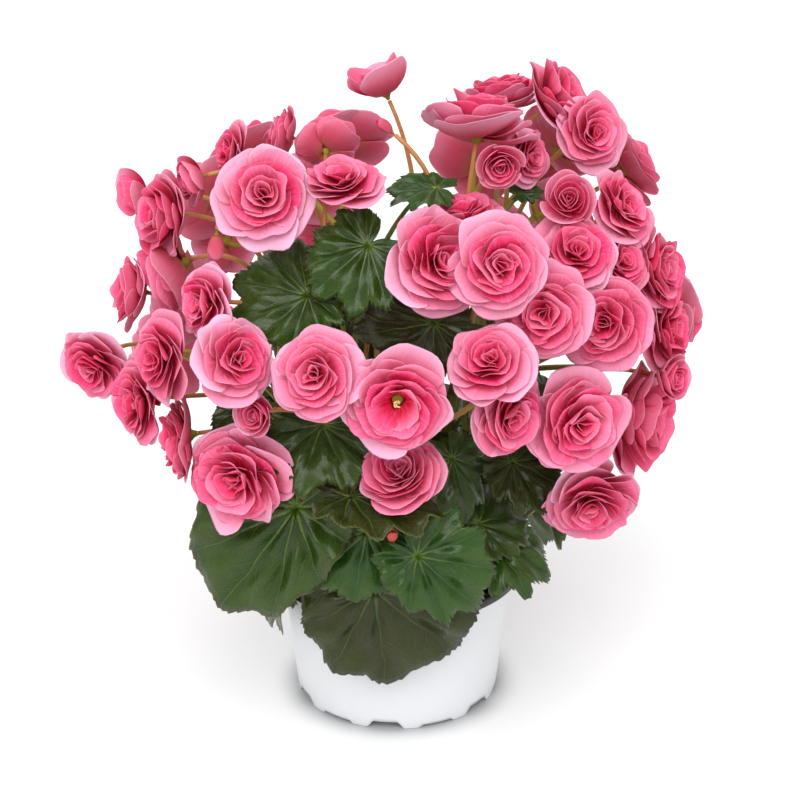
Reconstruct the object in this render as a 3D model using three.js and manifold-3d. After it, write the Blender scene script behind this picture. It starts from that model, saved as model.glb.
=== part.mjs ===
// A potted winter-flowering begonia: a double pink-flowered plant in a low white plastic pot.
// Millimetres, +Z up. The origin is the centre of the pot's flat base, on the surface it stands on.
// The viewer of the photograph stands on the -Y side, so +X is to the viewer's right.
import * as THREE from "three";
import Module from "manifold-3d";
import { mergeVertices } from "three/addons/utils/BufferGeometryUtils.js";

const wasm = await Module();
wasm.setup();

// ---------------------------------------------------------------- driving dimensions
const RIM_RADIUS = 65; // a 13 cm pot, the usual size for this plant
const POT_HEIGHT = 73;
const WALL_TOP_RADIUS = 60;
const FOOT_RADIUS = 52;
const WALL = 1.6; // thickness of the pot's plastic
const RIM_DEPTH = 5; // height of the rolled rim
const CHANNEL = 3; // height of the drainage channel over the surface
const FOOT_RING = 5; // width of the ring that the pot stands on, round the channel
const POT_SEGMENTS = 30;
const SOIL_LEVEL = 62;
const SOIL_SEGMENTS = 18;
const STEM_DEPTH = 18; // how deep the stems stand in the soil
const STEM_RADIUS = 4.2;
const STEM_HOLE = 5.4; // to the corners of the six-sided hole that a stem stands in
const STALK_RADIUS = 1.5;
const PETIOLE_RADIUS = 1.8;
const PETAL = 1.6; // thickness in the middle of a petal
const LEAF = 0.9; // thickness of a leaf blade
const GAP = 0.35; // air left where one piece rests on or in another

// ---------------------------------------------------------------- the photograph's sight lines
// The ellipses of the pot's rim and foot give a viewpoint 1.31 m away, looking down by 24 degrees.
const VIEW = {
  target: new THREE.Vector3(1.5, 0, 161.3),
  distance: 1312,
  pitch: THREE.MathUtils.degToRad(24.05),
  focalPixels: 2600,
  centrePixel: 400,
};
const SIGHT = new THREE.Vector3(0, Math.cos(VIEW.pitch), -Math.sin(VIEW.pitch));
const UPWARD = new THREE.Vector3(0, Math.sin(VIEW.pitch), Math.cos(VIEW.pitch));
const EYE = VIEW.target.clone().addScaledVector(SIGHT, -VIEW.distance);
// The flowers stand over a dome, which says how far away a flower seen at a pixel lies.
const DOME = {
  centre: new THREE.Vector3(-8, 0, 212),
  radii: new THREE.Vector3(142, 118, 108),
};

const rad = THREE.MathUtils.degToRad;
const vec = (x, y, z) => new THREE.Vector3(x, y, z);

function sightLine(px, py) {
  return SIGHT.clone()
    .multiplyScalar(VIEW.focalPixels)
    .add(vec(px - VIEW.centrePixel, 0, 0))
    .addScaledVector(UPWARD, VIEW.centrePixel - py)
    .normalize();
}

// Where the sight line through a pixel meets the dome, on its near side (-1) or its far side (+1).
// A line that misses the dome gives its nearest point to it.
function onDome(px, py, face) {
  const ray = sightLine(px, py);
  const from = EYE.clone().sub(DOME.centre).divide(DOME.radii);
  const way = ray.clone().divide(DOME.radii);
  const a = way.dot(way);
  const b = from.dot(way);
  const under = b * b - a * (from.dot(from) - 1);
  const reach = (-b + face * Math.sqrt(Math.max(0, under))) / a;
  return EYE.clone().addScaledVector(ray, reach);
}

// Where the sight line through a pixel meets the upright plane at y.
function onPlane(px, py, y) {
  const ray = sightLine(px, py);
  return EYE.clone().addScaledVector(ray, (y - EYE.y) / ray.y);
}

// Millimetres that a length of one pixel stands for at a point.
function pixelSize(point) {
  return point.clone().sub(EYE).dot(SIGHT) / VIEW.focalPixels;
}

// A direction turned away from the viewer by some degrees, towards a side:
// 0 is the viewer's right, 90 up, 180 left, 270 down.
function facing(turn, side) {
  return vec(Math.cos(rad(side)), 0, 0)
    .addScaledVector(UPWARD, Math.sin(rad(side)))
    .multiplyScalar(Math.sin(rad(turn)))
    .addScaledVector(SIGHT, -Math.cos(rad(turn)));
}

// A turn that takes +Z to a direction, with +X as near as can be to another.
function frameOf(up, along) {
  const z = up.clone().normalize();
  const x = along.clone().addScaledVector(z, -along.dot(z)).normalize();
  const y = z.clone().cross(x);
  return new THREE.Matrix4().makeBasis(x, y, z);
}

// A repeatable run of random numbers between -1 and 1.
function seeded(seed) {
  let state = (seed * 2654435761) >>> 0;
  return () => {
    state = (Math.imul(state ^ (state >>> 15), 2246822519) + 3266489917) >>> 0;
    return (state / 2 ** 31) - 1;
  };
}

// ---------------------------------------------------------------- solids
function solidFrom(points, faces) {
  const vertProperties = new Float32Array(points.flatMap((p) => [p.x, p.y, p.z]));
  const triVerts = new Uint32Array(faces.flat());
  return new wasm.Manifold(new wasm.Mesh({ numProp: 3, vertProperties, triVerts }));
}

function solidOf(geometry) {
  const bare = geometry.clone();
  bare.deleteAttribute("normal");
  bare.deleteAttribute("uv");
  const merged = mergeVertices(bare, 1e-4);
  return new wasm.Manifold(
    new wasm.Mesh({
      numProp: 3,
      vertProperties: merged.getAttribute("position").array,
      triVerts: new Uint32Array(merged.index.array),
    }),
  );
}

// Joins solids into one, and drops corners that lie closer than this to the surface without them.
const MERGE = 0.13;
const joined = (solids) => solids.reduce((sum, next) => sum.add(next)).asOriginal().simplify(MERGE);

function geometryOf(solid) {
  const { vertProperties, triVerts } = solid.getMesh();
  return new THREE.BufferGeometry()
    .setAttribute("position", new THREE.BufferAttribute(vertProperties, 3))
    .setIndex(new THREE.BufferAttribute(triVerts, 1));
}

const plant = new THREE.Group();
plant.name = "potted_begonia";

function addNode(name, solid, colour, roughness) {
  const geometry = geometryOf(solid).toNonIndexed();
  geometry.computeVertexNormals();
  const material = new THREE.MeshStandardMaterial({ color: colour, roughness, metalness: 0 });
  const mesh = new THREE.Mesh(geometry, material);
  mesh.name = name;
  plant.add(mesh);
}

// A round rod along a curve.
function rod(curve, radius, sides, steps) {
  const corner = (i) => (2 * Math.PI * i) / sides;
  const outline = [...Array(sides).keys()].map(
    (i) => new THREE.Vector2(radius * Math.cos(corner(i)), radius * Math.sin(corner(i))),
  );
  return solidOf(
    new THREE.ExtrudeGeometry(new THREE.Shape(outline), { extrudePath: curve, steps }),
  );
}

// ---------------------------------------------------------------- pot
const wallRadius = (z) => FOOT_RADIUS + ((WALL_TOP_RADIUS - FOOT_RADIUS) * z) / POT_HEIGHT;

function pot() {
  const rimBottom = POT_HEIGHT - RIM_DEPTH;
  const channelOut = FOOT_RADIUS - FOOT_RING;
  const channelIn = channelOut - 11;
  const floorTop = CHANNEL + WALL;
  const outline = [
    [0, 0],
    [channelIn, 0],
    [channelIn + 2, CHANNEL],
    [channelOut - 1, CHANNEL],
    [channelOut, 0],
    [FOOT_RADIUS, 0],
    [wallRadius(rimBottom), rimBottom],
    [RIM_RADIUS - 1.2, rimBottom],
    [RIM_RADIUS, POT_HEIGHT - RIM_DEPTH / 2],
    [RIM_RADIUS - 1.6, POT_HEIGHT],
    [WALL_TOP_RADIUS, POT_HEIGHT],
    [wallRadius(rimBottom) - WALL, rimBottom - 1],
    [wallRadius(floorTop) - WALL, floorTop],
    [0, floorTop],
  ];
  const shell = solidOf(
    new THREE.LatheGeometry(
      outline.map(([r, z]) => new THREE.Vector2(r, z)),
      POT_SEGMENTS,
    ).rotateX(Math.PI / 2),
  );
  return footNotches(shell);
}

// The foot is cut into six wide feet, each with a shallow scallop in its middle.
const FOOT = { count: 6, firstAngle: -96.5, width: 19, height: 4.6, scallop: 1.6 };

function footNotches(shell) {
  let cut = shell;
  for (let i = 0; i < FOOT.count; i += 1) {
    const notch = rad(FOOT.firstAngle + (360 / FOOT.count) * i);
    cut = cut.subtract(wedge(notch, FOOT.width, FOOT.height));
    cut = cut.subtract(wedge(notch + Math.PI / FOOT.count, FOOT.width, FOOT.scallop));
  }
  return cut;
}

// A trapezoid cutter, wider at the surface, laid across the foot's ring.
function wedge(angle, width, height) {
  const shape = new THREE.Shape([
    new THREE.Vector2(-width / 2, -1),
    new THREE.Vector2(width / 2, -1),
    new THREE.Vector2(width / 2 - height * 0.7, height),
    new THREE.Vector2(-width / 2 + height * 0.7, height),
  ]);
  const cutter = new THREE.ExtrudeGeometry(shape, { depth: 9, bevelEnabled: false });
  // The shape's x runs round the pot, its y upwards, and the cutter's depth outwards.
  cutter.applyMatrix4(
    new THREE.Matrix4().makeBasis(
      vec(-Math.sin(angle), Math.cos(angle), 0),
      vec(0, 0, 1),
      vec(Math.cos(angle), Math.sin(angle), 0),
    ),
  );
  const start = FOOT_RADIUS - FOOT_RING - 1.5;
  cutter.translate(start * Math.cos(angle), start * Math.sin(angle), 0);
  return solidOf(cutter);
}

// ---------------------------------------------------------------- leafy stems and soil
// Each stem leaves the soil at foot and ends at head, from which its upper stalks fork.
const STEMS = [
  { name: "leafy_stem_left", foot: [-26, -4], head: [-62, -8, 178] },
  { name: "leafy_stem_front", foot: [-8, -24], head: [-14, -46, 172] },
  { name: "leafy_stem_right", foot: [26, -8], head: [56, -12, 182] },
  { name: "leafy_stem_back_left", foot: [-14, 22], head: [-40, 48, 186] },
  { name: "leafy_stem_back_right", foot: [17, 20], head: [38, 48, 188] },
];

function stemCurve({ foot: [x, y], head }) {
  const low = SOIL_LEVEL - STEM_DEPTH;
  return new THREE.CatmullRomCurve3([
    vec(x, y, low),
    vec(x, y, low + STEM_DEPTH / 2),
    vec(x, y, SOIL_LEVEL + 4),
    vec(x * 0.5 + head[0] * 0.5, y * 0.5 + head[1] * 0.5, SOIL_LEVEL * 0.4 + head[2] * 0.6),
    vec(...head),
  ]);
}

function soil() {
  const bottom = CHANNEL + WALL + GAP;
  const inner = (z) => (wallRadius(z) - WALL) * Math.cos(Math.PI / POT_SEGMENTS) - GAP;
  const outline = [
    [0, bottom],
    [inner(bottom) - 1, bottom],
    [inner(SOIL_LEVEL - 3) - 1, SOIL_LEVEL - 3],
    [inner(SOIL_LEVEL) - 5, SOIL_LEVEL - 1],
    [34, SOIL_LEVEL],
    [17, SOIL_LEVEL + 0.6],
    [0, SOIL_LEVEL + 1],
  ];
  const geometry = new THREE.LatheGeometry(
    outline.map(([r, z]) => new THREE.Vector2(r, z)),
    SOIL_SEGMENTS,
  ).rotateX(Math.PI / 2);
  // The top is lumpy.
  const place = geometry.getAttribute("position");
  for (let i = 0; i < place.count; i += 1) {
    const [x, y, z] = [place.getX(i), place.getY(i), place.getZ(i)];
    if (z > SOIL_LEVEL - 2) place.setZ(i, z + Math.sin(x * 0.31) * Math.cos(y * 0.27));
  }
  let solid = solidOf(geometry);
  for (const { foot: [x, y] } of STEMS) {
    const hole = new THREE.CylinderGeometry(
      STEM_HOLE,
      STEM_HOLE,
      STEM_DEPTH * 2,
      6,
    ).rotateX(Math.PI / 2);
    hole.translate(x, y, SOIL_LEVEL - GAP);
    solid = solid.subtract(solidOf(hole));
  }
  return solid;
}

// ---------------------------------------------------------------- leaves
// A blade's outline as [degrees from the midrib, distance from the stalk's joint over the blade's length]:
// a lopsided heart with a pointed tip and a cut edge.
const BLADE_EDGE = [
  [0, 1],
  [18, 0.8],
  [31, 0.84],
  [48, 0.66],
  [66, 0.7],
  [88, 0.58],
  [114, 0.58],
  [142, 0.46],
  [172, 0.06],
];
const BLADE_HUB = 0.3; // where the blade's triangles meet, along the midrib
const LOPSIDED = 0.14; // share by which one half is wider and the other narrower

// A blade with its joint at the origin, its tip towards +X and its upper face towards +Z.
// droop bends it down along the midrib, fold lifts its halves, and flip says which half is wider.
function blade({ length, width, droop, fold, flip }, seed) {
  const phase = Math.PI * seeded(seed)();
  const half = (angle) => (Math.sin(angle) * flip > 0 ? 1 + LOPSIDED : 1 - LOPSIDED);
  const place = ([degrees, share], side) => {
    const angle = rad(degrees);
    const along = length * share * Math.cos(angle);
    const across = length * share * Math.sin(angle) * width * half(angle);
    const wave = 0.05 * length * share * Math.sin(3 * angle + phase);
    const bend = -droop * length * share ** 2 * (0.4 + 0.6 * Math.max(0, Math.cos(angle)));
    const lift = (fold * Math.abs(across)) / 2;
    return vec(along, across, wave + bend + lift + (side * LEAF) / 2);
  };
  const mirrored = BLADE_EDGE.slice(1).map(([degrees, share]) => [-degrees, share]);
  const outline = [[0, BLADE_HUB], ...BLADE_EDGE, ...mirrored.reverse()];
  const layer = outline.length;
  const points = [1, -1].flatMap((side) => outline.map((corner) => place(corner, side)));
  const faces = [];
  for (let i = 1; i < layer; i += 1) {
    const next = (i % (layer - 1)) + 1;
    faces.push([0, i, next], [layer, layer + next, layer + i]);
    faces.push([next, i, i + layer], [next, i + layer, next + layer]);
  }
  return solidFrom(points, faces);
}

// ---------------------------------------------------------------- flowers
// A whorl of petals, in shares of the flower's radius: how many, the height and radius of its root,
// how far its petals reach, how high their tips rise over the root, and how hollow they are.
const KINDS = {
  full: [
    { count: 5, root: 0, waist: 0.17, reach: 1, rise: 0.1, hollow: 0.06, edge: "round" },
    { count: 4, root: 0.15, waist: 0.16, reach: 0.78, rise: 0.36, hollow: 0.08, edge: "narrow" },
    { count: 3, root: 0.3, waist: 0.13, reach: 0.48, rise: 0.46, hollow: 0.06, edge: "narrow" },
  ],
  half: [
    { count: 4, root: 0, waist: 0.2, reach: 0.95, rise: 0.55, hollow: 0.2, edge: "round" },
    { count: 3, root: 0.22, waist: 0.17, reach: 0.6, rise: 0.75, hollow: 0.1, edge: "narrow" },
  ],
  rear: [
    { count: 5, root: 0, waist: 0.17, reach: 1, rise: 0.16, hollow: 0.06, edge: "narrow" },
    { count: 4, root: 0.2, waist: 0.16, reach: 0.7, rise: 0.44, hollow: 0.08, edge: "narrow" },
  ],
  bud: [{ count: 3, root: 0, waist: 0.3, reach: 0.5, rise: 1.5, hollow: 0.34, edge: "narrow" }],
};
// A petal's outline: distance along it, and angle over half of its share of the circle.
const PETAL_EDGES = {
  round: [
    [0.74, -0.95],
    [1, -0.52],
    [1, 0.52],
    [0.74, 0.95],
  ],
  narrow: [
    [0.84, -0.82],
    [1.03, 0],
    [0.84, 0.82],
  ],
};
const CALYX = 0.14; // how far the flower's green base reaches down, over its radius

// One closed surface: each whorl's petals grow from a ring round the flower's middle.
function bloomSolid(kind, radius, seed) {
  const random = seeded(seed);
  const points = [vec(0, 0, -CALYX * radius)];
  const faces = [];
  let below = [];
  KINDS[kind].forEach((whorl, level) => {
    const turn = 1.1 * level + random() * 0.4 + seed;
    const share = Math.PI / whorl.count;
    const at = (u, angle, lift) => {
      const r = radius * (whorl.waist + (whorl.reach - whorl.waist) * u);
      const z = radius * (whorl.root + whorl.rise * u ** 1.5) + lift;
      points.push(vec(r * Math.cos(angle), r * Math.sin(angle), z));
      return points.length - 1;
    };
    const thick = 0.5 * PETAL;
    const corners = [...Array(whorl.count).keys()];
    const low = corners.map((i) => at(0, turn + share * (2 * i - 1), -thick));
    const high = corners.map((i) => at(0, turn + share * (2 * i - 1), thick));
    corners.forEach((i) => {
      const next = (i + 1) % whorl.count;
      const middle = turn + share * 2 * i;
      const raised = radius * 0.05 * random();
      const grown = 1 + 0.06 * random();
      const rim = PETAL_EDGES[whorl.edge].map(([u, v]) =>
        at(u * grown, middle + share * v, raised + radius * whorl.hollow * Math.abs(v)),
      );
      const dip = raised * 0.5 - radius * whorl.hollow * 0.5;
      const top = at(0.55, middle, dip + thick);
      const bottom = at(0.55, middle, dip - thick);
      const upper = [high[i], ...rim, high[next]];
      const lower = [low[i], ...rim, low[next]];
      upper.forEach((p, k) => faces.push([top, p, upper[(k + 1) % upper.length]]));
      lower.forEach((p, k) => faces.push([bottom, lower[(k + 1) % lower.length], p]));
      faces.push([high[i], low[i], rim[0]], [high[next], rim[rim.length - 1], low[next]]);
    });
    zip(below, low, points, faces);
    below = high;
  });
  const crown = points.push(vec(0, 0, points[below[0]].z + radius * 0.12)) - 1;
  below.forEach((p, i) => faces.push([crown, p, below[(i + 1) % below.length]]));
  return solidFrom(points, faces);
}

// Joins two rings round the axis, the lower one first, by a band of triangles.
// The lowest ring is closed by a fan to the first point, which is the tip of the base.
function zip(lower, upper, points, faces) {
  if (lower.length === 0) {
    upper.forEach((p, i) => faces.push([0, upper[(i + 1) % upper.length], p]));
    return;
  }
  const angleAt = (p) => (Math.atan2(points[p].y, points[p].x) + 2 * Math.PI) % (2 * Math.PI);
  const sorted = (ring) => {
    const first = ring.indexOf(ring.reduce((a, b) => (angleAt(b) < angleAt(a) ? b : a)));
    return [...ring.slice(first), ...ring.slice(0, first)];
  };
  const [a, b] = [sorted(lower), sorted(upper)];
  const along = (ring, i) => angleAt(ring[i % ring.length]) + (i >= ring.length ? 2 * Math.PI : 0);
  let [i, j] = [0, 0];
  while (i < a.length || j < b.length) {
    const takeLower = j >= b.length || (i < a.length && along(a, i + 1) < along(b, j + 1));
    const [p, q] = [a[i % a.length], b[j % b.length]];
    if (takeLower) {
      faces.push([p, a[(i + 1) % a.length], q]);
      i += 1;
    } else {
      faces.push([p, b[(j + 1) % b.length], q]);
      j += 1;
    }
  }
}

// The flowers seen in the photograph, nearest first: name, pixel of the middle, width in pixels,
// degrees turned away from the viewer, side turned to, kind, and millimetres set back from the dome.
const SEEN = [
  ["bloom_12", 264, 195, 98, 10, 100, "full", 0],
  ["bloom_18", 238, 360, 86, 28, 10, "full", 0],
  ["bloom_20", 316, 374, 92, 15, 190, "full", 0],
  ["bloom_23", 238, 478, 112, 40, 215, "full", 0],
  ["bloom_21", 397, 405, 108, 30, 265, "full", 0],
  ["bloom_26", 500, 266, 98, 10, 0, "full", 0],
  ["bloom_29", 491, 362, 88, 25, 100, "full", 0],
  ["bloom_27", 543, 313, 96, 12, 250, "full", 0],
  ["bloom_31", 580, 425, 106, 35, 330, "rear", 0],
  ["bloom_32", 590, 507, 97, 50, 280, "rear", 0],
  ["bloom_28", 605, 322, 96, 20, 180, "rear", 6],
  ["bloom_22", 401, 472, 86, 35, 110, "rear", 10],
  ["bloom_30", 512, 416, 90, 40, 320, "rear", 8],
  ["bloom_25", 438, 262, 108, 35, 0, "full", 8],
  ["bloom_19", 255, 415, 48, 30, 200, "half", 4],
  ["bloom_34", 569, 200, 56, 15, 100, "half", 0],
  ["bloom_33", 577, 252, 85, 25, 60, "rear", 8],
  ["bloom_35", 626, 208, 82, 50, 20, "rear", 4],
  ["bloom_36", 593, 133, 76, 25, 10, "full", 0],
  ["bloom_40", 500, 166, 50, 25, 270, "half", 0],
  ["bloom_38", 480, 121, 96, 80, 80, "rear", 10],
  ["bloom_39", 503, 95, 74, 75, 100, "rear", 20],
  ["bloom_37", 560, 100, 78, 65, 30, "rear", 12],
  ["bloom_16", 381, 83, 60, 75, 116, "half", 0],
  ["bloom_17", 386, 127, 26, 80, 140, "bud", 4],
  ["bloom_15", 344, 178, 80, 50, 110, "rear", 4],
  ["bloom_14", 326, 144, 58, 130, 90, "rear", 20],
  ["bloom_13", 283, 135, 50, 85, 165, "rear", 14],
  ["bloom_11", 229, 150, 58, 65, 170, "rear", 14],
  ["bloom_07", 192, 180, 52, 70, 200, "half", 0],
  ["bloom_06", 163, 213, 75, 65, 180, "rear", 6],
  ["bloom_08", 137, 194, 46, 70, 190, "half", 10],
  ["bloom_10", 203, 303, 80, 55, 185, "rear", 8],
  ["bloom_09", 170, 268, 95, 110, 200, "rear", 24],
  ["bloom_24", 216, 245, 34, 90, 265, "bud", 10],
  ["bloom_05", 133, 290, 68, 80, 170, "rear", 10],
  ["bloom_03", 160, 357, 88, 50, 190, "full", 8],
  ["bloom_02", 134, 400, 92, 60, 185, "rear", 0],
  ["bloom_01", 93, 367, 80, 45, 230, "full", 0],
  ["bloom_04", 176, 437, 90, 85, 190, "rear", 10],
  ["bloom_48", 622, 262, 70, 40, 30, "rear", 20],
  ["bloom_44", 657, 270, 74, 60, 355, "rear", 12],
  ["bloom_45", 669, 330, 90, 65, 0, "rear", 4],
  ["bloom_46", 672, 378, 50, 50, 350, "half", 0],
  ["bloom_47", 638, 420, 100, 68, 345, "rear", 10],
  ["bloom_42", 530, 158, 60, 50, 0, "rear", 26],
  ["bloom_51", 462, 212, 85, 60, 90, "rear", 24],
];
// Sprays of three flowers on the far side, with the pixels that their flowers lie behind.
const SPRAY_PIXELS = [
  [[215, 200], [262, 170], [232, 245]],
  [[190, 300], [180, 350], [225, 330]],
  [[310, 190], [350, 160], [330, 235]],
  [[478, 165], [525, 185], [500, 235]],
  [[560, 150], [600, 190], [560, 215]],
  [[620, 260], [640, 310], [590, 290]],
];
const FLOWER_COLOURS = { full: "#e8527f", rear: "#e2607f", half: "#ec6a86", bud: "#d9596a" };

const overlap = (a, b) => (boxesMeet(a, b) ? a.intersect(b).volume() : 0);

function boxesMeet(a, b) {
  const [p, q] = [a.boundingBox(), b.boundingBox()];
  return [0, 1, 2].every((k) => p.min[k] < q.max[k] && q.min[k] < p.max[k]);
}

// A flower with the middle of its lowest whorl at a place, and its face turned one way.
function growBloom(kind, radius, seed, place, facingWay) {
  const frame = frameOf(facingWay, vec(0.3, 0.2, 1)).setPosition(place);
  return bloomSolid(kind, radius, seed).transform(frame.elements);
}

// Sets a flower back along the sight line until it is clear of the flowers nearer to the viewer.
const SETTLE_STEP = 2;
const SETTLE_MOST = 30;

function settle(kind, radius, seed, start, way, facingWay, others) {
  for (let step = 0; step < SETTLE_MOST; step += 1) {
    const place = start.clone().addScaledVector(way, step * SETTLE_STEP);
    const solid = growBloom(kind, radius, seed, place, facingWay);
    if (others.every((o) => overlap(solid, o.solid) === 0)) return { place, solid };
  }
  return null;
}

// How high the middle of a flower is over its lowest whorl, over its radius.
const MIDDLE = { full: 0.25, rear: 0.3, half: 0.42, bud: 0.6 };

const blooms = [];
SEEN.forEach(([name, px, py, width, turn, side, kind, back], index) => {
  const start = onDome(px, py, -1).addScaledVector(sightLine(px, py), back);
  const radius = (width / 2) * pixelSize(start);
  const facingWay = facing(turn, side);
  start.addScaledVector(facingWay, -MIDDLE[kind] * radius);
  const found = settle(kind, radius, index + 1, start, sightLine(px, py), facingWay, blooms);
  if (!found) throw new Error(name + " finds no clear place");
  blooms.push({ name, kind, radius, facingWay, ...found });
});

// The far side's flowers face straight out of the dome and settle outwards.
const SPRAY_RADIUS = 24;
const outwardAt = (p) => p.clone().sub(DOME.centre).divide(DOME.radii).divide(DOME.radii).normalize();
const sprays = SPRAY_PIXELS.map((pixels, index) => {
  const flowers = pixels.map(([px, py], k) => {
    const start = onDome(px, py, 1);
    const out = outwardAt(start);
    const seed = 60 + 3 * index + k;
    const radius = SPRAY_RADIUS * (1 - 0.1 * k);
    const found = settle("rear", radius, seed, start, out, out, blooms);
    if (!found) throw new Error("a flower behind finds no clear place");
    const flower = { kind: "rear", radius, facingWay: out, ...found };
    blooms.push(flower);
    return flower;
  });
  return { name: "spray_back_" + (index + 1), flowers };
});

// ---------------------------------------------------------------- stalks
const calyxTip = (flower) =>
  flower.place.clone().addScaledVector(flower.facingWay, -CALYX * flower.radius);

const STALK_SIDES = 3;
const STALK_STEPS = 3;
const CLEARANCE = 0.5;

// A stalk from one point to another, which arrives along a direction.
function stalkCurve(from, to, arrival, swing, pull) {
  const far = from.distanceTo(to);
  const bend = to.clone().addScaledVector(arrival, -far * pull).addScaledVector(swing, 0.6);
  const rise = from.clone().lerp(bend, 0.4).add(swing);
  return new THREE.CubicBezierCurve3(from, rise, bend, to);
}

// Tries ways round for a stalk, until it is clear of every solid in its way.
function clearStalk(from, to, arrival, radius, obstacles) {
  for (const pull of [0.4, 0.25, 0.12, 0.05]) {
    for (const reach of [0, 8, 16, 24, 36]) {
      for (let turn = 0; turn < (reach ? 8 : 1); turn += 1) {
        const angle = (Math.PI / 4) * turn;
        const frame = frameOf(to.clone().sub(from), vec(0.1, 0.2, 1));
        const swing = vec(reach * Math.cos(angle), reach * Math.sin(angle), 0).applyMatrix4(frame);
        const curve = stalkCurve(from, to, arrival, swing, pull);
        const wide = rod(curve, radius + CLEARANCE, STALK_SIDES, STALK_STEPS);
        if (obstacles.every((o) => overlap(wide, o) === 0)) return curve;
      }
    }
  }
  return null;
}

const leafyStems = STEMS.map((stem) => {
  const curve = stemCurve(stem);
  return { ...stem, curve, tubes: [rod(curve, STEM_RADIUS, 6, 5)], blades: [] };
});

// The stems, nearest head first.
function stemsNear(point) {
  const far = (stem) => stem.curve.getPoint(1).distanceTo(point);
  return [...leafyStems].sort((a, b) => far(a) - far(b));
}

// What a stalk or leaf of this stem keeps clear of: flowers, other stems, and its own stem's leaves.
const inTheWay = (stem) => [
  ...blooms.map((b) => b.solid),
  ...leafyStems.filter((other) => other !== stem).flatMap((other) => other.tubes),
  ...stem.blades,
];

// Grows a stalk from the nearest stem that has a clear way to a point.
function growStalk(name, to, arrival, radius, fork, choices) {
  for (const stem of choices) {
    const from = stem.curve.getPoint(fork);
    const curve = clearStalk(from, to, arrival, radius, inTheWay(stem));
    if (curve) {
      stem.tubes.push(rod(curve, radius, STALK_SIDES, STALK_STEPS));
      return;
    }
  }
  throw new Error(name + " has no clear way for its stalk");
}

const forkOf = (index) => 0.62 + 0.38 * ((index * 0.618) % 1);

SEEN.forEach(([name], index) => {
  const flower = blooms[index];
  const end = calyxTip(flower).addScaledVector(flower.facingWay, -GAP);
  growStalk(name, end, flower.facingWay, STALK_RADIUS, forkOf(index), stemsNear(end));
});

// A spray's own three stalks part at a point inside the dome, where its stem's stalk ends.
const SPRAY_STALK = 34;
const SPRAY_FORK = 0.3;

const spraySolids = sprays.map(({ name, flowers }, index) => {
  const middle = flowers.reduce((sum, f) => sum.add(calyxTip(f)), vec(0, 0, 0)).divideScalar(3);
  const out = outwardAt(middle).setZ(SPRAY_FORK).normalize();
  const fork = middle.clone().addScaledVector(out, -SPRAY_STALK);
  const stalks = leafyStems.flatMap((stem) => stem.tubes);
  const others = blooms.filter((b) => !flowers.includes(b)).map((b) => b.solid);
  const base = new THREE.LineCurve3(fork, fork.clone().addScaledVector(out, 4));
  const pieces = [rod(base, STALK_RADIUS * 1.5, 4, 1)];
  flowers.forEach((flower) => {
    const end = calyxTip(flower).addScaledVector(flower.facingWay, 2);
    const start = fork.clone().addScaledVector(out, 2);
    const own = flowers.filter((f) => f !== flower).map((f) => f.solid);
    const obstacles = [...others, ...own, ...stalks];
    const curve = clearStalk(start, end, flower.facingWay, STALK_RADIUS, obstacles);
    if (!curve) throw new Error(name + " has no clear way for a stalk");
    pieces.push(rod(curve, STALK_RADIUS, STALK_SIDES, STALK_STEPS), flower.solid);
  });
  const solid = joined(pieces);
  blooms.push({ solid });
  const foot = fork.clone().addScaledVector(out, -GAP);
  growStalk(name, foot, out, STALK_RADIUS * 1.5, forkOf(index), stemsNear(foot));
  return { name, solid };
});

// ---------------------------------------------------------------- foliage
// The leaves seen in the photograph: name, pixel of the joint, the joint's y, length in pixels, width,
// degrees turned away, side turned to, the tip's heading, how far the tip droops, the fold along the midrib,
// and which half is wider.
const LEAVES = [
  ["top_left", 437, 188, -30, 52, 0.9, 50, 90, 165, 0.1, 0.1, 1],
  ["upper_left", 308, 296, -78, 88, 1.05, 28, 100, 195, 0.15, 0.1, -1],
  ["upper_middle", 368, 245, -72, 76, 1.1, 18, 90, 222, 0.15, 0.1, 1],
  ["dark_middle", 434, 323, -84, 80, 1.3, 35, 255, 237, 0.1, 0.15, -1],
  ["middle_left", 322, 425, -78, 72, 1.3, 30, 90, 255, 0.2, 0.1, 1],
  ["small_left", 250, 402, -62, 48, 1, 35, 120, 215, 0.1, 0.1, 1],
  ["draped_left", 296, 508, -80, 150, 0.8, 16, 215, 232, 0.08, 0.1, -1],
  ["low_middle", 366, 532, -84, 84, 1, 14, 260, 226, 0.1, 0.1, 1],
  ["low_right", 417, 556, -92, 92, 0.9, 12, 290, 316, 0.12, 0.1, 1],
  ["hanging_front", 374, 590, -78, 120, 1.15, 26, 268, 275, 0.04, 0.06, 1],
  ["olive_edge", 350, 497, -86, 98, 1, 62, 85, 350, 0.1, 0.1, 1],
  ["inner_right", 452, 458, -64, 70, 1.1, 40, 20, 288, 0.15, 0.1, -1],
  ["right_dark", 478, 524, -62, 66, 1.2, 42, 60, 30, 0.15, 0.1, 1],
  ["right_low", 490, 536, -60, 74, 1.1, 42, 65, 335, 0.2, 0.1, -1],
  ["right_far", 556, 492, -30, 46, 0.9, 55, 80, 20, 0.15, 0.1, 1],
  ["top_small", 520, 194, -6, 26, 0.9, 45, 90, 20, 0.1, 0.1, 1],
  ["inner_dark", 352, 316, -14, 70, 1, 22, 90, 262, 0.1, 0.1, 1],
  ["inner_low", 512, 462, -30, 60, 1.1, 30, 60, 300, 0.1, 0.1, 1],
  ["inner_far", 560, 396, -30, 58, 1.1, 30, 60, 300, 0.1, 0.1, 1],
];
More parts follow.
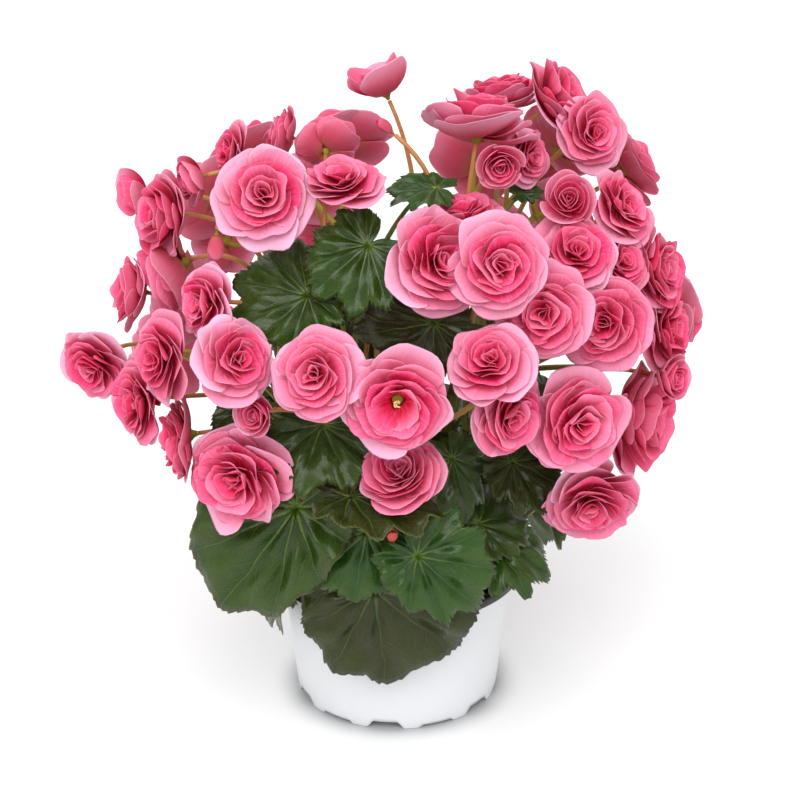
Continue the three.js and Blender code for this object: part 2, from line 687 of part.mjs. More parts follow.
// The leaves round the back and inside: angle round the pot, distance from its axis, height, length,
// and how far they face up (0 is outwards only).
const BACK_LEAVES = [
  [20, 52, 118, 56, 0.8],
  [50, 50, 136, 60, 0.8],
  [76, 56, 120, 50, 0.7],
  [105, 50, 142, 56, 0.8],
  [134, 56, 122, 50, 0.7],
  [162, 54, 136, 50, 0.8],
  [62, 44, 190, 54, 0.9],
  [95, 50, 208, 50, 0.9],
  [128, 60, 192, 46, 0.9],
  [30, 62, 166, 44, 0.9],
  [150, 60, 162, 44, 0.9],
  [90, 58, 80, 44, 0.4],
  [80, 16, 226, 45, 2.5],
  [25, 44, 232, 40, 2.5],
  [182, 46, 120, 60, 0.8],
  [196, 50, 94, 50, 0.5],
  [2, 46, 112, 52, 0.8],
];
const LEAF_STEP = 2.5;
const LEAF_STEPS = 16;

// Moves a leaf to and fro along a line until it and its stalk are clear, then joins it to a stem.
function growLeaf(name, shape, seed, joint, out, tip, line) {
  const flat = blade(shape, seed);
  const frame = frameOf(out, tip);
  const arrival = out.clone().multiplyScalar(0.75).addScaledVector(tip, 0.65).normalize();
  // The second time round it may grow together with its own stem's stalks.
  for (let step = 0; step < 2 * LEAF_STEPS; step += 1) {
    const count = step % LEAF_STEPS;
    const shift = LEAF_STEP * Math.ceil(count / 2) * (count % 2 ? 1 : -1);
    const place = joint.clone().addScaledVector(line, shift);
    const solid = flat.transform(frame.clone().setPosition(place).elements);
    for (const stem of stemsNear(place)) {
      const blocked = [...inTheWay(stem), potSolid, soilSolid];
      const avoided = step < LEAF_STEPS ? [...blocked, ...stem.tubes] : blocked;
      if (avoided.some((o) => overlap(solid, o) > 0)) continue;
      const from = stem.curve.getPoint(leafFork(place));
      const curve = clearStalk(from, place, arrival, PETIOLE_RADIUS, blocked);
      if (!curve) continue;
      stem.tubes.push(rod(curve, PETIOLE_RADIUS, STALK_SIDES, STALK_STEPS).add(solid));
      stem.blades.push(solid);
      return;
    }
  }
  throw new Error(name + " finds no clear place");
}

const potSolid = pot();
const soilSolid = soil();
const leafFork = (place) => THREE.MathUtils.clamp((place.z - SOIL_LEVEL) / 130, 0.28, 0.85);

LEAVES.forEach(([name, px, py, y, length, width, turn, side, heading, droop, fold, flip], index) => {
  const joint = onPlane(px, py, y);
  const out = facing(turn, side);
  const seen = facing(90, heading);
  const tip = seen.addScaledVector(out, -seen.dot(out)).normalize();
  const shape = { length: length * pixelSize(joint), width, droop, fold, flip };
  growLeaf(name, shape, index + 1, joint, out, tip, sightLine(px, py));
});

BACK_LEAVES.forEach(([around, radius, height, length, up], index) => {
  const outward = vec(Math.cos(rad(around)), Math.sin(rad(around)), 0);
  const out = outward.clone().add(vec(0, 0, up)).normalize();
  const tip = outward.clone().multiplyScalar(up).sub(vec(0, 0, 1)).normalize();
  const shape = { length, width: 1.15, droop: 0.2, fold: 0.1, flip: index % 2 ? 1 : -1 };
  const joint = outward.clone().multiplyScalar(radius).setZ(height);
  growLeaf("back_" + around, shape, index + 41, joint, out, tip, outward);
});

// ---------------------------------------------------------------- the whole plant
addNode("pot", potSolid, "#f4f4f2", 0.4);
addNode("soil", soilSolid, "#2b211b", 0.95);
leafyStems.forEach(({ name, tubes }) => {
  addNode(name, joined(tubes), "#2f5a33", 0.45);
});
SEEN.forEach(([name, , , , , , kind], index) => {
  addNode(name, blooms[index].solid, FLOWER_COLOURS[kind], 0.55);
});
spraySolids.forEach(({ name, solid }) => addNode(name, solid, FLOWER_COLOURS.rear, 0.55));

export default plant;
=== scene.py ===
"""A potted begonia with double pink flowers, dressed round its solids as a Blender add-on.

Run as a script it loads the solids, grows each flower, leaf, stalk, the soil and the pot in their places, and
sets up a pale studio with the camera at the photograph's angle. Geometry is worked out in millimetres in the
part's own frame: the origin is the centre of the pot's base, +Z is up, and the viewer stands on the -Y side.
"""

import math

import bpy
import numpy as np
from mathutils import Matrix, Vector


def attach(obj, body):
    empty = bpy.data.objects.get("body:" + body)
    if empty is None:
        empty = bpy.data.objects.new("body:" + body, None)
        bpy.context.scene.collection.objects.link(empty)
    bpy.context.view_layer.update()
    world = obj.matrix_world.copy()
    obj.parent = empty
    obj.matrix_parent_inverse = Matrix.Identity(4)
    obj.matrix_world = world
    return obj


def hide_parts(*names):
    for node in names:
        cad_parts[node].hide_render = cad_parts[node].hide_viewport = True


bl_info = {
    "name": "Potted begonia",
    "version": (1, 0, 0),
    "blender": (4, 5, 0),
    "location": "View3D > Sidebar > Begonia",
    "description": "Grows a potted begonia with double pink flowers round its solids",
    "category": "Object",
}

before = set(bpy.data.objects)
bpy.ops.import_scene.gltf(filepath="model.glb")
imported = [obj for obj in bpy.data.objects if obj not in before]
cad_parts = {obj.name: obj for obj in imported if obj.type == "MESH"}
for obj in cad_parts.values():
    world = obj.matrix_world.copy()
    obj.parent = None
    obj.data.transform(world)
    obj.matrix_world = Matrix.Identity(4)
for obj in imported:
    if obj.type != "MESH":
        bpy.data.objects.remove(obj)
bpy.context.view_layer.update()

MM = 0.001

# ---------------------------------------------------------------- the photograph's sight lines
PITCH = math.radians(24.05)
SIGHT = np.array([0, math.cos(PITCH), -math.sin(PITCH)])
UPWARD = np.array([0, math.sin(PITCH), math.cos(PITCH)])
TARGET = np.array([1.5, 0, 161.3])
DISTANCE = 1312.0
FOCAL_PIXELS = 2600.0
PICTURE = 800.0
EYE = TARGET - SIGHT * DISTANCE
DOME_CENTRE = np.array([-8.0, 0, 212])
DOME_RADII = np.array([142.0, 118, 108])


def sight_line(px, py):
    """The unit direction f*s + (px-c)*x + (c-py)*u of the sight line through a pixel."""
    middle = PICTURE / 2
    ray = SIGHT * FOCAL_PIXELS + np.array([px - middle, 0, 0]) + UPWARD * (middle - py)
    return ray / np.linalg.norm(ray)


def behind_dome(px, py):
    """Where the sight line leaves the dome: the larger root of |(e + t r - c) / R| = 1."""
    way = sight_line(px, py) / DOME_RADII
    start = (EYE - DOME_CENTRE) / DOME_RADII
    a, b = way @ way, start @ way
    under = b * b - a * (start @ start - 1)
    reach = (-b + math.sqrt(max(0.0, under))) / a
    return EYE + sight_line(px, py) * reach


def on_plane(px, py, y):
    """Where the sight line through a pixel meets the upright plane at y."""
    ray = sight_line(px, py)
    return EYE + ray * (y - EYE[1]) / ray[1]


def facing(turn, side):
    """sin(turn) (cos(side) x + sin(side) u) - cos(turn) s: a direction turned away from the viewer."""
    turn, side = math.radians(turn), math.radians(side)
    across = np.array([math.cos(side), 0, 0]) + UPWARD * math.sin(side)
    return math.sin(turn) * across - math.cos(turn) * SIGHT


def unit(v):
    """A vector, or each row of an array of them, over its length."""
    v = np.asarray(v, float)
    return v / np.linalg.norm(v, axis=-1, keepdims=True)


def frame_of(up, along):
    """The 3 by 3 matrix whose columns are x, y and z, with z on up and x as near as can be to along."""
    z = unit(up)
    x = unit(along - z * (np.asarray(along) @ z))
    return np.column_stack([x, np.cross(z, x), z])


def node_points(name):
    """The corners of a solid of the frame, in millimetres."""
    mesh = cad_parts[name].data
    flat = np.empty(len(mesh.vertices) * 3, np.float32)
    mesh.vertices.foreach_get("co", flat)
    return flat.reshape(-1, 3).astype(float) / MM


# ---------------------------------------------------------------- surfaces
class Surface:
    """Quads and corners that grow piece by piece, with a named number at each corner."""

    def __init__(self, *names):
        self.points, self.faces, self.count = [], [], 0
        self.values = {name: [] for name in names}

    def add(self, points, faces, **values):
        """Adds corners as rows of x, y, z and faces as rows of their numbers."""
        self.points.append(points)
        self.faces.append(np.asarray(faces) + self.count)
        for name, stored in self.values.items():
            stored.append(np.broadcast_to(values.get(name, 0.0), len(points)).astype(float))
        self.count += len(points)

    def piece(self, name, material):
        """Makes the object, smooth shaded, with its place in its mesh."""
        mesh = bpy.data.meshes.new(name)
        points = np.concatenate(self.points) * MM
        faces = np.concatenate(self.faces)
        mesh.from_pydata(points.tolist(), [], drop_repeats(faces))
        for key, stored in self.values.items():
            layer = mesh.attributes.new(key, "FLOAT", "POINT")
            layer.data.foreach_set("value", np.concatenate(stored).astype(np.float32))
        mesh.polygons.foreach_set("use_smooth", np.ones(len(mesh.polygons), bool))
        mesh.materials.append(material)
        mesh.validate()
        mesh.update()
        made = bpy.data.objects.new(name, mesh)
        bpy.context.scene.collection.objects.link(made)
        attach(made, "root")
        return made


def drop_repeats(faces):
    """Faces as lists, where a quad with a repeated corner becomes a triangle."""
    same = (faces == np.roll(faces, 1, axis=1)).any(axis=1)
    plain = faces[~same].tolist()
    for quad in faces[same].tolist():
        corners = [c for k, c in enumerate(quad) if c != quad[k - 1]]
        if len(corners) == 3:
            plain.append(corners)
    return plain


def grid_faces(rows, columns, wrap=False):
    """The quads of a grid of corners numbered row by row, closed round each row where wrap is set.

    Their normals point along d(row) x d(column)."""
    i = np.arange(rows - 1)[:, None]
    j = np.arange(columns if wrap else columns - 1)[None, :]
    k = (j + 1) % columns
    low, high = i * columns, (i + 1) * columns
    return np.stack([low + j, high + j, high + k, low + k], axis=-1).reshape(-1, 4)


def normals_of(grid):
    """The unit normal at each corner of a grid of points, from the cross product of its two slopes."""
    along, across = np.gradient(grid, axis=0), np.gradient(grid, axis=1)
    cross = np.cross(along, across)
    size = np.linalg.norm(cross, axis=-1, keepdims=True)
    return cross / np.maximum(size, 1e-9)


def add_sheet(surface, grid, thickness, **values):
    """Adds a closed thin sheet: the grid moved out and in by half its thickness, joined at its rim.

    The thickness falls to nothing at the rim, where both sides share their corners. face is 1 on the side
    that the normal points to and 0 on the other."""
    rows, columns = grid.shape[:2]
    normal = normals_of(grid)
    i, j = np.mgrid[0:rows, 0:columns]
    rim = (i == 0) | (i == rows - 1) | (j == 0) | (j == columns - 1)
    half = np.where(rim, 0, thickness / 2)[..., None]
    upper, lower = grid + normal * half, grid - normal * half
    number = np.arange(rows * columns)
    inner = ~rim.ravel()
    under = number.copy()
    under[inner] = rows * columns + np.arange(inner.sum())
    faces = grid_faces(rows, columns)
    points = np.concatenate([upper.reshape(-1, 3), lower.reshape(-1, 3)[inner]])
    both = {k: np.broadcast_to(v, (rows, columns)).ravel() for k, v in values.items()}
    both = {k: np.concatenate([v, v[inner]]) for k, v in both.items()}
    side = np.concatenate([np.ones(rows * columns), np.zeros(inner.sum())])
    surface.add(points, np.concatenate([faces, under[faces][:, ::-1]]), face=side, **both)


def add_tube(surface, path, radii, sides, **values):
    """Adds a closed round tube along a path: p + r (cos a n + sin a b), with a cap at each end.

    values may hold one number for each point of the path."""
    path = np.asarray(path, float)
    ahead = unit(np.gradient(path, axis=0))
    guide = np.array([0.31, 0.17, 0.93])
    n = unit(guide - ahead * (ahead @ guide)[:, None])
    b = np.cross(ahead, n)
    angle = np.linspace(0, 2 * np.pi, sides, endpoint=False)
    ring = np.cos(angle)[None, :, None] * n[:, None] + np.sin(angle)[None, :, None] * b[:, None]
    radii = np.broadcast_to(radii, len(path))
    grid = path[:, None] + ring * radii[:, None, None]
    points = np.concatenate([grid.reshape(-1, 3), path[:1], path[-1:]])
    count = len(path) * sides
    here, there = np.arange(sides), (np.arange(sides) + 1) % sides
    last = count - sides
    first_cap = np.stack([here, np.full(sides, count), np.full(sides, count), there], axis=-1)
    end = np.full(sides, count + 1)
    last_cap = np.stack([last + here, last + there, end, end], axis=-1)
    faces = np.concatenate([grid_faces(len(path), sides, wrap=True)[:, ::-1], first_cap, last_cap])
    spread = {}
    for key, value in values.items():
        value = np.broadcast_to(value, len(path))
        spread[key] = np.concatenate([np.repeat(value, sides), value[:1], value[-1:]])
    surface.add(points, faces, **spread)


def smoothstep(x, low, high):
    """3t^2 - 2t^3 of t = (x - low) / (high - low), held between 0 and 1."""
    t = np.clip((x - low) / (high - low), 0, 1)
    return t * t * (3 - 2 * t)


# ---------------------------------------------------------------- flowers
# Name, degrees turned away from the viewer, side turned to, kind of solid, look, and how pale, where
# below 0 is dusky.
FLOWERS = [
    ("bloom_12", 10, 100, "full", "full", 0.8),
    ("bloom_18", 28, 10, "full", "full", 0.6),
    ("bloom_20", 15, 190, "full", "full", 0.4),
    ("bloom_23", 40, 215, "full", "open", 0.6),
    ("bloom_21", 30, 265, "full", "funnel", 0.4),
    ("bloom_26", 10, 0, "full", "full", 0.3),
    ("bloom_29", 25, 100, "full", "full", 0.5),
    ("bloom_27", 12, 250, "full", "full", 0.4),
    ("bloom_31", 35, 330, "rear", "open", 0.3),
    ("bloom_32", 50, 280, "rear", "open", 0.5),
    ("bloom_28", 20, 180, "rear", "full", 0.2),
    ("bloom_22", 35, 110, "rear", "tight", 0.2),
    ("bloom_30", 40, 320, "rear", "open", 0.4),
    ("bloom_25", 35, 0, "full", "full", 0.6),
    ("bloom_19", 30, 200, "half", "half", 0.3),
    ("bloom_34", 15, 100, "half", "half", 0.3),
    ("bloom_33", 25, 60, "rear", "full", 0.4),
    ("bloom_35", 50, 20, "rear", "open", 0.3),
    ("bloom_36", 25, 10, "full", "full", 0.3),
    ("bloom_40", 25, 270, "half", "half", 0.2),
    ("bloom_38", 80, 80, "rear", "cup", 0.9),
    ("bloom_39", 75, 100, "rear", "cup", 0.8),
    ("bloom_37", 65, 30, "rear", "cup", 0.3),
    ("bloom_16", 75, 116, "half", "goblet", 0.5),
    ("bloom_17", 80, 140, "bud", "bud", -0.5),
    ("bloom_15", 50, 110, "rear", "open", 0.4),
    ("bloom_14", 130, 90, "rear", "cup", 0.2),
    ("bloom_13", 85, 165, "rear", "cup", 0.3),
    ("bloom_11", 65, 170, "rear", "full", 0.4),
    ("bloom_07", 70, 200, "half", "half", 0.3),
    ("bloom_06", 65, 180, "rear", "cup", 0.5),
    ("bloom_08", 70, 190, "half", "goblet", 0.5),
    ("bloom_10", 55, 185, "rear", "full", 0.5),
    ("bloom_09", 110, 200, "rear", "cup", 0.2),
    ("bloom_24", 90, 265, "bud", "bud", 0.2),
    ("bloom_05", 80, 170, "rear", "cup", 0.4),
    ("bloom_03", 50, 190, "full", "full", 0.3),
    ("bloom_02", 60, 185, "rear", "open", 0.4),
    ("bloom_01", 45, 230, "full", "open", 0.6),
    ("bloom_04", 85, 190, "rear", "open", 0.4),
    ("bloom_48", 40, 30, "rear", "full", 0.3),
    ("bloom_44", 60, 355, "rear", "cup", 0.3),
    ("bloom_45", 65, 0, "rear", "full", 0.4),
    ("bloom_46", 50, 350, "half", "half", 0.4),
    ("bloom_47", 68, 345, "rear", "cup", 0.3),
    ("bloom_42", 50, 0, "rear", "full", 0.3),
    ("bloom_51", 60, 90, "rear", "open", 0.2),
]
SPRAY_PIXELS = [
    [[215, 200], [262, 170], [232, 245]],
    [[190, 300], [180, 350], [225, 330]],
    [[310, 190], [350, 160], [330, 235]],
    [[478, 165], [525, 185], [500, 235]],
    [[560, 150], [600, 190], [560, 215]],
    [[620, 260], [640, 310], [590, 290]],
]
SPRAY_RADIUS = 24.0
SPRAY_SHRINK = 0.1  # share by which a spray's second and third flowers are smaller
SPRAY_STALK = 34.0
SPRAY_FORK = 0.3
SETTLE_STEP = 2.0
SETTLE_MOST = 30
CALYX = 0.14  # how far a flower's green base reaches down, over its radius
PETAL = 1.6  # thickness of a solid's petal
GAP = 0.35
CALYX_SOCKET = 0.9  # how far a flower's green base reaches over its stalk's end
# Height of a solid's top whorl, and how far its middle stands over that, both over its radius.
TOP_ROOT = {"full": 0.3, "rear": 0.2, "half": 0.22, "bud": 0.0}
CROWN = 0.12

# For each look, its rings of petals from the middle out: count, the rim's distance from the axis and height,
# the root's distance and height, half width (all over the flower's radius), the degrees that a petal curves
# up along its length, how far its lip curls out in degrees, and ruffle.
RINGS = {
    "full": [
        (2, 0.06, 0.52, 0.02, 0.30, 0.15, 20, 4, 0.04),
        (3, 0.15, 0.60, 0.02, 0.26, 0.26, 26, 12, 0.10),
        (3, 0.29, 0.63, 0.03, 0.21, 0.38, 34, 22, 0.14),
        (4, 0.45, 0.61, 0.04, 0.16, 0.45, 46, 30, 0.16),
        (5, 0.63, 0.51, 0.06, 0.10, 0.50, 54, 36, 0.15),
        (5, 0.83, 0.34, 0.08, 0.04, 0.57, 48, 38, 0.12),
        (5, 1.02, 0.15, 0.07, -0.02, 0.66, 30, 34, 0.08),
    ],
    "tight": [
        (3, 0.07, 0.62, 0.02, 0.30, 0.14, 20, 0, 0.03),
        (3, 0.16, 0.66, 0.02, 0.26, 0.25, 26, 6, 0.04),
        (4, 0.28, 0.69, 0.03, 0.22, 0.33, 36, 10, 0.06),
        (4, 0.42, 0.69, 0.04, 0.18, 0.42, 50, 16, 0.08),
        (5, 0.57, 0.66, 0.05, 0.14, 0.48, 60, 20, 0.08),
        (5, 0.73, 0.58, 0.06, 0.08, 0.54, 66, 24, 0.07),
        (5, 0.88, 0.44, 0.07, 0.03, 0.60, 60, 26, 0.06),
        (4, 1.01, 0.26, 0.07, -0.02, 0.68, 46, 26, 0.05),
    ],
    "open": [
        (3, 0.10, 0.50, 0.02, 0.26, 0.18, 20, 6, 0.08),
        (3, 0.23, 0.56, 0.03, 0.22, 0.32, 26, 16, 0.12),
        (4, 0.38, 0.58, 0.04, 0.18, 0.40, 34, 26, 0.15),
        (5, 0.56, 0.53, 0.05, 0.13, 0.47, 42, 32, 0.15),
        (5, 0.74, 0.42, 0.06, 0.08, 0.53, 46, 36, 0.13),
        (5, 0.90, 0.27, 0.08, 0.02, 0.60, 42, 36, 0.09),
        (4, 1.03, 0.13, 0.07, -0.03, 0.70, 30, 30, 0.07),
    ],
    "cup": [
        (3, 0.10, 0.70, 0.02, 0.28, 0.18, 20, 4, 0.08),
        (3, 0.24, 0.80, 0.03, 0.24, 0.34, 26, 16, 0.10),
        (4, 0.40, 0.84, 0.04, 0.18, 0.44, 38, 26, 0.11),
        (4, 0.60, 0.82, 0.05, 0.12, 0.56, 58, 34, 0.10),
        (4, 0.80, 0.70, 0.06, 0.06, 0.66, 76, 44, 0.08),
        (4, 0.96, 0.50, 0.07, 0.01, 0.76, 80, 50, 0.06),
        (3, 1.06, 0.28, 0.06, -0.04, 0.90, 76, 52, 0.05),
    ],
    "funnel": [
        (4, 0.40, 0.44, 0.10, 0.06, 0.38, 44, 44, 0.08),
        (5, 0.58, 0.46, 0.10, 0.06, 0.46, 50, 44, 0.09),
        (5, 0.76, 0.40, 0.09, 0.04, 0.54, 50, 40, 0.09),
        (5, 0.91, 0.27, 0.08, 0.01, 0.60, 42, 36, 0.07),
        (4, 1.04, 0.12, 0.07, -0.03, 0.70, 30, 32, 0.05),
    ],
    "half": [
        (3, 0.08, 0.72, 0.02, 0.14, 0.16, 20, 0, 0.02),
        (3, 0.19, 0.80, 0.03, 0.12, 0.28, 34, 0, 0.03),
        (3, 0.33, 0.86, 0.04, 0.10, 0.42, 50, 6, 0.04),
        (4, 0.48, 0.90, 0.06, 0.07, 0.54, 68, 10, 0.04),
        (3, 0.66, 0.88, 0.07, 0.04, 0.70, 86, 16, 0.04),
        (3, 0.88, 0.72, 0.08, 0.00, 0.82, 88, 22, 0.04),
    ],
    "goblet": [
        (2, 0.14, 0.62, 0.03, 0.12, 0.34, 40, 0, 0.02),
        (2, 0.42, 0.96, 0.05, 0.06, 0.72, 78, 4, 0.03),
        (2, 0.80, 1.22, 0.07, 0.02, 0.96, 92, 20, 0.03),
        (2, 1.02, 1.10, 0.08, -0.01, 1.06, 92, 30, 0.03),
    ],
    "bud": [
        (2, 0.14, 1.26, 0.04, 0.00, 0.52, 70, 0, 0.01),
        (2, 0.20, 1.46, 0.05, -0.02, 0.70, 96, 0, 0.01),
    ],
}
RINGS["rear"] = RINGS["open"]
GOLDEN = math.radians(137.5)
# How uneven these looks are, where the others are 1.
LOOSE = {"full": 1.3, "open": 1.8, "cup": 1.5, "funnel": 1.5, "rear": 1.6}
PETAL_THICKNESS = 0.2
WIDEST = 0.56  # share of a petal's length at which its side meets its round tip
GROWN = 1.07  # how much further petals reach than their solid's
IMBRICATE = 0.14  # slope by which one edge of a petal lies over its neighbour's
OUTER_CELLS, INNER_CELLS = 12, 11  # how finely the petals of outer and inner rings are divided
OUTER_RING = 0.55  # share of the rings past which they count as outer
CALYX_WIDEST = 3.4  # most that the green base's radius may be


def summed(values):
    """The running sum of an array by the trapezium rule, in steps of 1, from 0."""
    return np.concatenate([[0], np.cumsum((values[1:] + values[:-1]) / 2)])


def petal_grid(rim, root, half_width, sweep, lip, cup, ruffle, draw, cells):
    """A petal as a grid of points in its own plane of r outwards, t across and z up.

    Its midrib is an arc from root to rim that turns up by sweep, so its chord c gives its length
    c (sweep / 2) / sin(sweep / 2), and its last third turns out again by lip. Its outline is a half ellipse
    on sides that widen to it: across v = sin(pi t / 2), it reaches the share w + (1 - w) sqrt(1 - v^2) of the
    length, with a slow wave and a notch in its middle. Across, it bends on a circle of radius
    half_width / cup and leans by IMBRICATE, and ruffle u^2 times a sum of three sines waves its rim. draw
    holds the phases of the waves, the notch's depth and the change of the lean."""
    u = 1 - (1 - np.linspace(0, 1, cells + 1)[:, None]) ** 1.4
    v = np.sin(np.linspace(-np.pi / 2, np.pi / 2, cells + 3))[None, :]
    notch = 0.06 * draw[4] * np.exp(-((v / 0.25) ** 2))
    tip = WIDEST + (1 - WIDEST) * np.sqrt(np.maximum(0, 1 - v * v)) + 0.02 * np.sin(6 * v + draw[0]) - notch
    share = u * tip
    chord = np.hypot(rim[0] - root[0], rim[1] - root[1])
    rise = math.atan2(rim[1] - root[1], rim[0] - root[0])
    length = chord * (sweep / 2) / math.sin(sweep / 2) if sweep else chord
    steps = np.linspace(0, 1.1, 56)
    slope = rise + sweep * (steps - 0.5) - lip * smoothstep(steps, 0.62, 1.0)
    run, climb = (summed(part(slope)) * (steps[1] * length) for part in (np.cos, np.sin))
    r = root[0] + np.interp(share, steps, run)
    z = root[1] + np.interp(share, steps, climb)
    lean = np.interp(share, steps, slope)
    s = v * half_width * (0.3 + 0.7 * np.sin(np.pi / 2 * u))
    bend = cup / half_width
    across = np.sin(s * bend) / bend
    lift = (1 - np.cos(s * bend)) / bend + (IMBRICATE + 0.05 * draw[5]) * s
    wave = np.sin(3.2 * v + draw[1]) + 0.4 * np.sin(5.6 * v + draw[2]) + 0.4 * np.sin(4 * u + draw[3])
    lift = lift + ruffle * u**2 * wave
    return np.stack([r - np.sin(lean) * lift, across + 0 * u, z + np.cos(lean) * lift], axis=-1), u, v


def add_flower(surface, kind, radius, place, up, seed, pale, **more):
    """Adds a flower with the middle of its lowest ring at place and its face turned up.

    Petal k of a ring of n stands at the angle 2 pi k / n from its ring's turn, which grows by the golden
    angle from ring to ring, each with a small random change."""
    random = np.random.default_rng(seed)
    basis = frame_of(up, [0.3, 0.2, 1])
    rings = RINGS[kind]
    turn = random.uniform(0, 2 * np.pi)
    loose = LOOSE.get(kind, 1.0)
    lean = random.normal(0, 0.05 * loose, 2)
    spread = radius * GROWN
    swell = random.uniform(-0.12, 0.12, len(rings))
    for level, (count, far, top, out, low, half, sweep, lip, ruffle) in enumerate(rings):
        ring = level / (len(rings) - 1)
        turn += GOLDEN + random.uniform(-0.2, 0.2)
        far = far * (1 + swell[level] * (1 - ring))
        for k in range(count):
            grow = 1 + random.uniform(-0.09, 0.04) * loose
            draw = random.uniform(0, 6.28, 4).tolist() + [random.uniform(-0.6, 1), random.normal(0, loose)]
            sheet, u, v = petal_grid(
                (far * spread * grow, top * radius * (1 + random.uniform(-0.09, 0.09) * loose)),
                (out * radius, low * radius),
                half * spread * (1 + random.uniform(-0.08, 0.08)),
                math.radians(sweep + random.normal(0, 5)),
                math.radians(lip + random.normal(0, 6)),
                min(1.5, half / (far + 0.12)) * random.uniform(0.85, 1.1),
                ruffle * radius * random.uniform(0.5, 1.2) / 2,
                draw,
                OUTER_CELLS if ring > OUTER_RING else INNER_CELLS,
            )
            angle = turn + 2 * np.pi * k / count + random.uniform(-1, 1) * (0.08 + 0.09 * ring) * loose
            c, s = math.cos(angle), math.sin(angle)
            x = sheet[..., 0] * c - sheet[..., 1] * s
            y = sheet[..., 0] * s + sheet[..., 1] * c
            z = sheet[..., 2] + lean[0] * x + lean[1] * y
            grid = np.stack([x, y, z], axis=-1) @ basis.T + place
            add_sheet(
                surface,
                grid,
                PETAL_THICKNESS,
                along=u,
                across=v,
                ring=ring,
                tone=random.random(),
                pale=pale,
                **more,
            )
    add_calyx(surface, radius, place, basis)
    if kind == "funnel":
        add_heart(surface, radius, place, basis, random)


def add_calyx(surface, radius, place, basis):
    """Adds the green base under the petals: a turned shape from the stalk's end to the lowest ring."""
    heights = np.array([-CALYX, -CALYX, -0.1, -0.05, 0.0, 0.08]) * radius - [CALYX_SOCKET, 0, 0, 0, 0, 0]
    widths = np.array([0.06, 0.075, 0.09, 0.14, 0.17, 0.08]) * radius
    path = place + heights[:, None] * basis[:, 2]
    add_tube(surface, path, np.minimum(widths, CALYX_WIDEST), 12, ring=-1.0, face=1.0)


def add_heart(surface, radius, place, basis, random):
    """Adds the few pale curled styles in the middle of an open flower."""
    for k in range(4):
        angle = 2 * np.pi * k / 4 + random.uniform(-0.5, 0.5)
        t = np.linspace(0, 1, 9)[:, None]
        tall = random.uniform(0.12, 0.2)
        turn = angle + 3.2 * t
        out = np.cos(turn) * basis[:, 0] + np.sin(turn) * basis[:, 1]
        path = place + basis[:, 2] * radius * (0.1 + tall * t**0.7) + out * radius * 0.07 * t
        add_tube(surface, path, 0.026 * radius * (1 - 0.4 * t[:, 0]), 6, ring=-2.0, face=1.0)


def flower_place(points, up, kind):
    """The root and radius of a flower, from its solid's lowest tip and its crown, both on its axis.

    They lie (top root + crown + calyx) R + half a petal's thickness apart."""
    low = points[np.argmin(points @ up)]
    rise = (points - low) @ up
    off = np.linalg.norm(points - low - rise[:, None] * up, axis=1)
    crown = rise[(off < 0.02) & (rise > 1)].max()
    radius = (crown - PETAL / 2) / (TOP_ROOT[kind] + CROWN + CALYX)
    return low + up * CALYX * radius, radius


# ---------------------------------------------------------------- stems and stalks
# Name, the stem's foot in the soil, and its head, from which its upper stalks fork.
STEMS = [
    ("leafy_stem_left", (-26, -4), (-62, -8, 178)),
    ("leafy_stem_front", (-8, -24), (-14, -46, 172)),
    ("leafy_stem_right", (26, -8), (56, -12, 182)),
    ("leafy_stem_back_left", (-14, 22), (-40, 48, 186)),
    ("leafy_stem_back_right", (17, 20), (38, 48, 188)),
]
SMALL_BUD = (393, 541, -88)  # pixel and y of the small bud's foot
SMALL_BUD_RADIUS = 4.8
SMALL_BUD_STEM = "leafy_stem_front"
SOIL_LEVEL = 62.0
STEM_DEPTH = 18.0
STEM_RADIUS = 4.2
STALK_RADIUS = 1.5
PETIOLE_RADIUS = 1.8
LEAST_FORK, GOLDEN_SHARE = 0.62, 0.618
PULLS = (0.4, 0.25, 0.12, 0.05)
SWINGS = (0, 8, 16, 24, 36)
# For each kind of stalk, its radius at its foot and its end, and its colour there, from 0 (green) to 1
# (orange).
FLOWER_STALK = (1.7, 1.05, 0.35, 1.0)
SPRAY_LIMB = (2.2, 1.9, 0.3, 0.6)
LEAF_STALK = (1.9, 0.9, 0.1, 0.45)
BUD_STALK = (1.3, 0.9, 0.1, 0.6)
LEAF_REACH = 130  # how far over the soil a leaf is whose stalk would fork at the stem's head
LOWEST_FORK, HIGHEST_FORK = 0.28, 0.85
BUD_SEED, SPRAY_SEED = 90, 100
BUD_PALE, SPRAY_PALE = 0.3, 0.4
BUD_CORAL = 2.0  # the stage at which a stem's colour is the small bud's


def stem_curve(foot, head):
    """A centripetal Catmull-Rom spline through five points, as a function of t from 0 to 1."""
    x, y = foot
    low = SOIL_LEVEL - STEM_DEPTH
    middle = [(x + head[0]) / 2, (y + head[1]) / 2, SOIL_LEVEL * 0.4 + head[2] * 0.6]
    upright = [[x, y, z] for z in (low, low + STEM_DEPTH / 2, SOIL_LEVEL + 4)]
    points = np.array([*upright, middle, head], float)

    def at(t):
        place = min(t, 1 - 1e-12) * (len(points) - 1)
        k = int(place)
        w = place - k
        before = points[k - 1] if k else 2 * points[0] - points[1]
        after = points[k + 2] if k + 2 < len(points) else 2 * points[-1] - points[-2]
        p0, p1, p2, p3 = before, points[k], points[k + 1], after
        a, b, c = (math.sqrt(np.linalg.norm(q - p)) for p, q in ((p0, p1), (p1, p2), (p2, p3)))
        start = ((p1 - p0) / a - (p2 - p0) / (a + b) + (p2 - p1) / b) * b
        end = ((p2 - p1) / b - (p3 - p1) / (b + c) + (p3 - p2) / c) * b
        square, cube = -3 * p1 + 3 * p2 - 2 * start - end, 2 * p1 - 2 * p2 + start + end
        return p1 + start * w + square * w**2 + cube * w**3

    return at


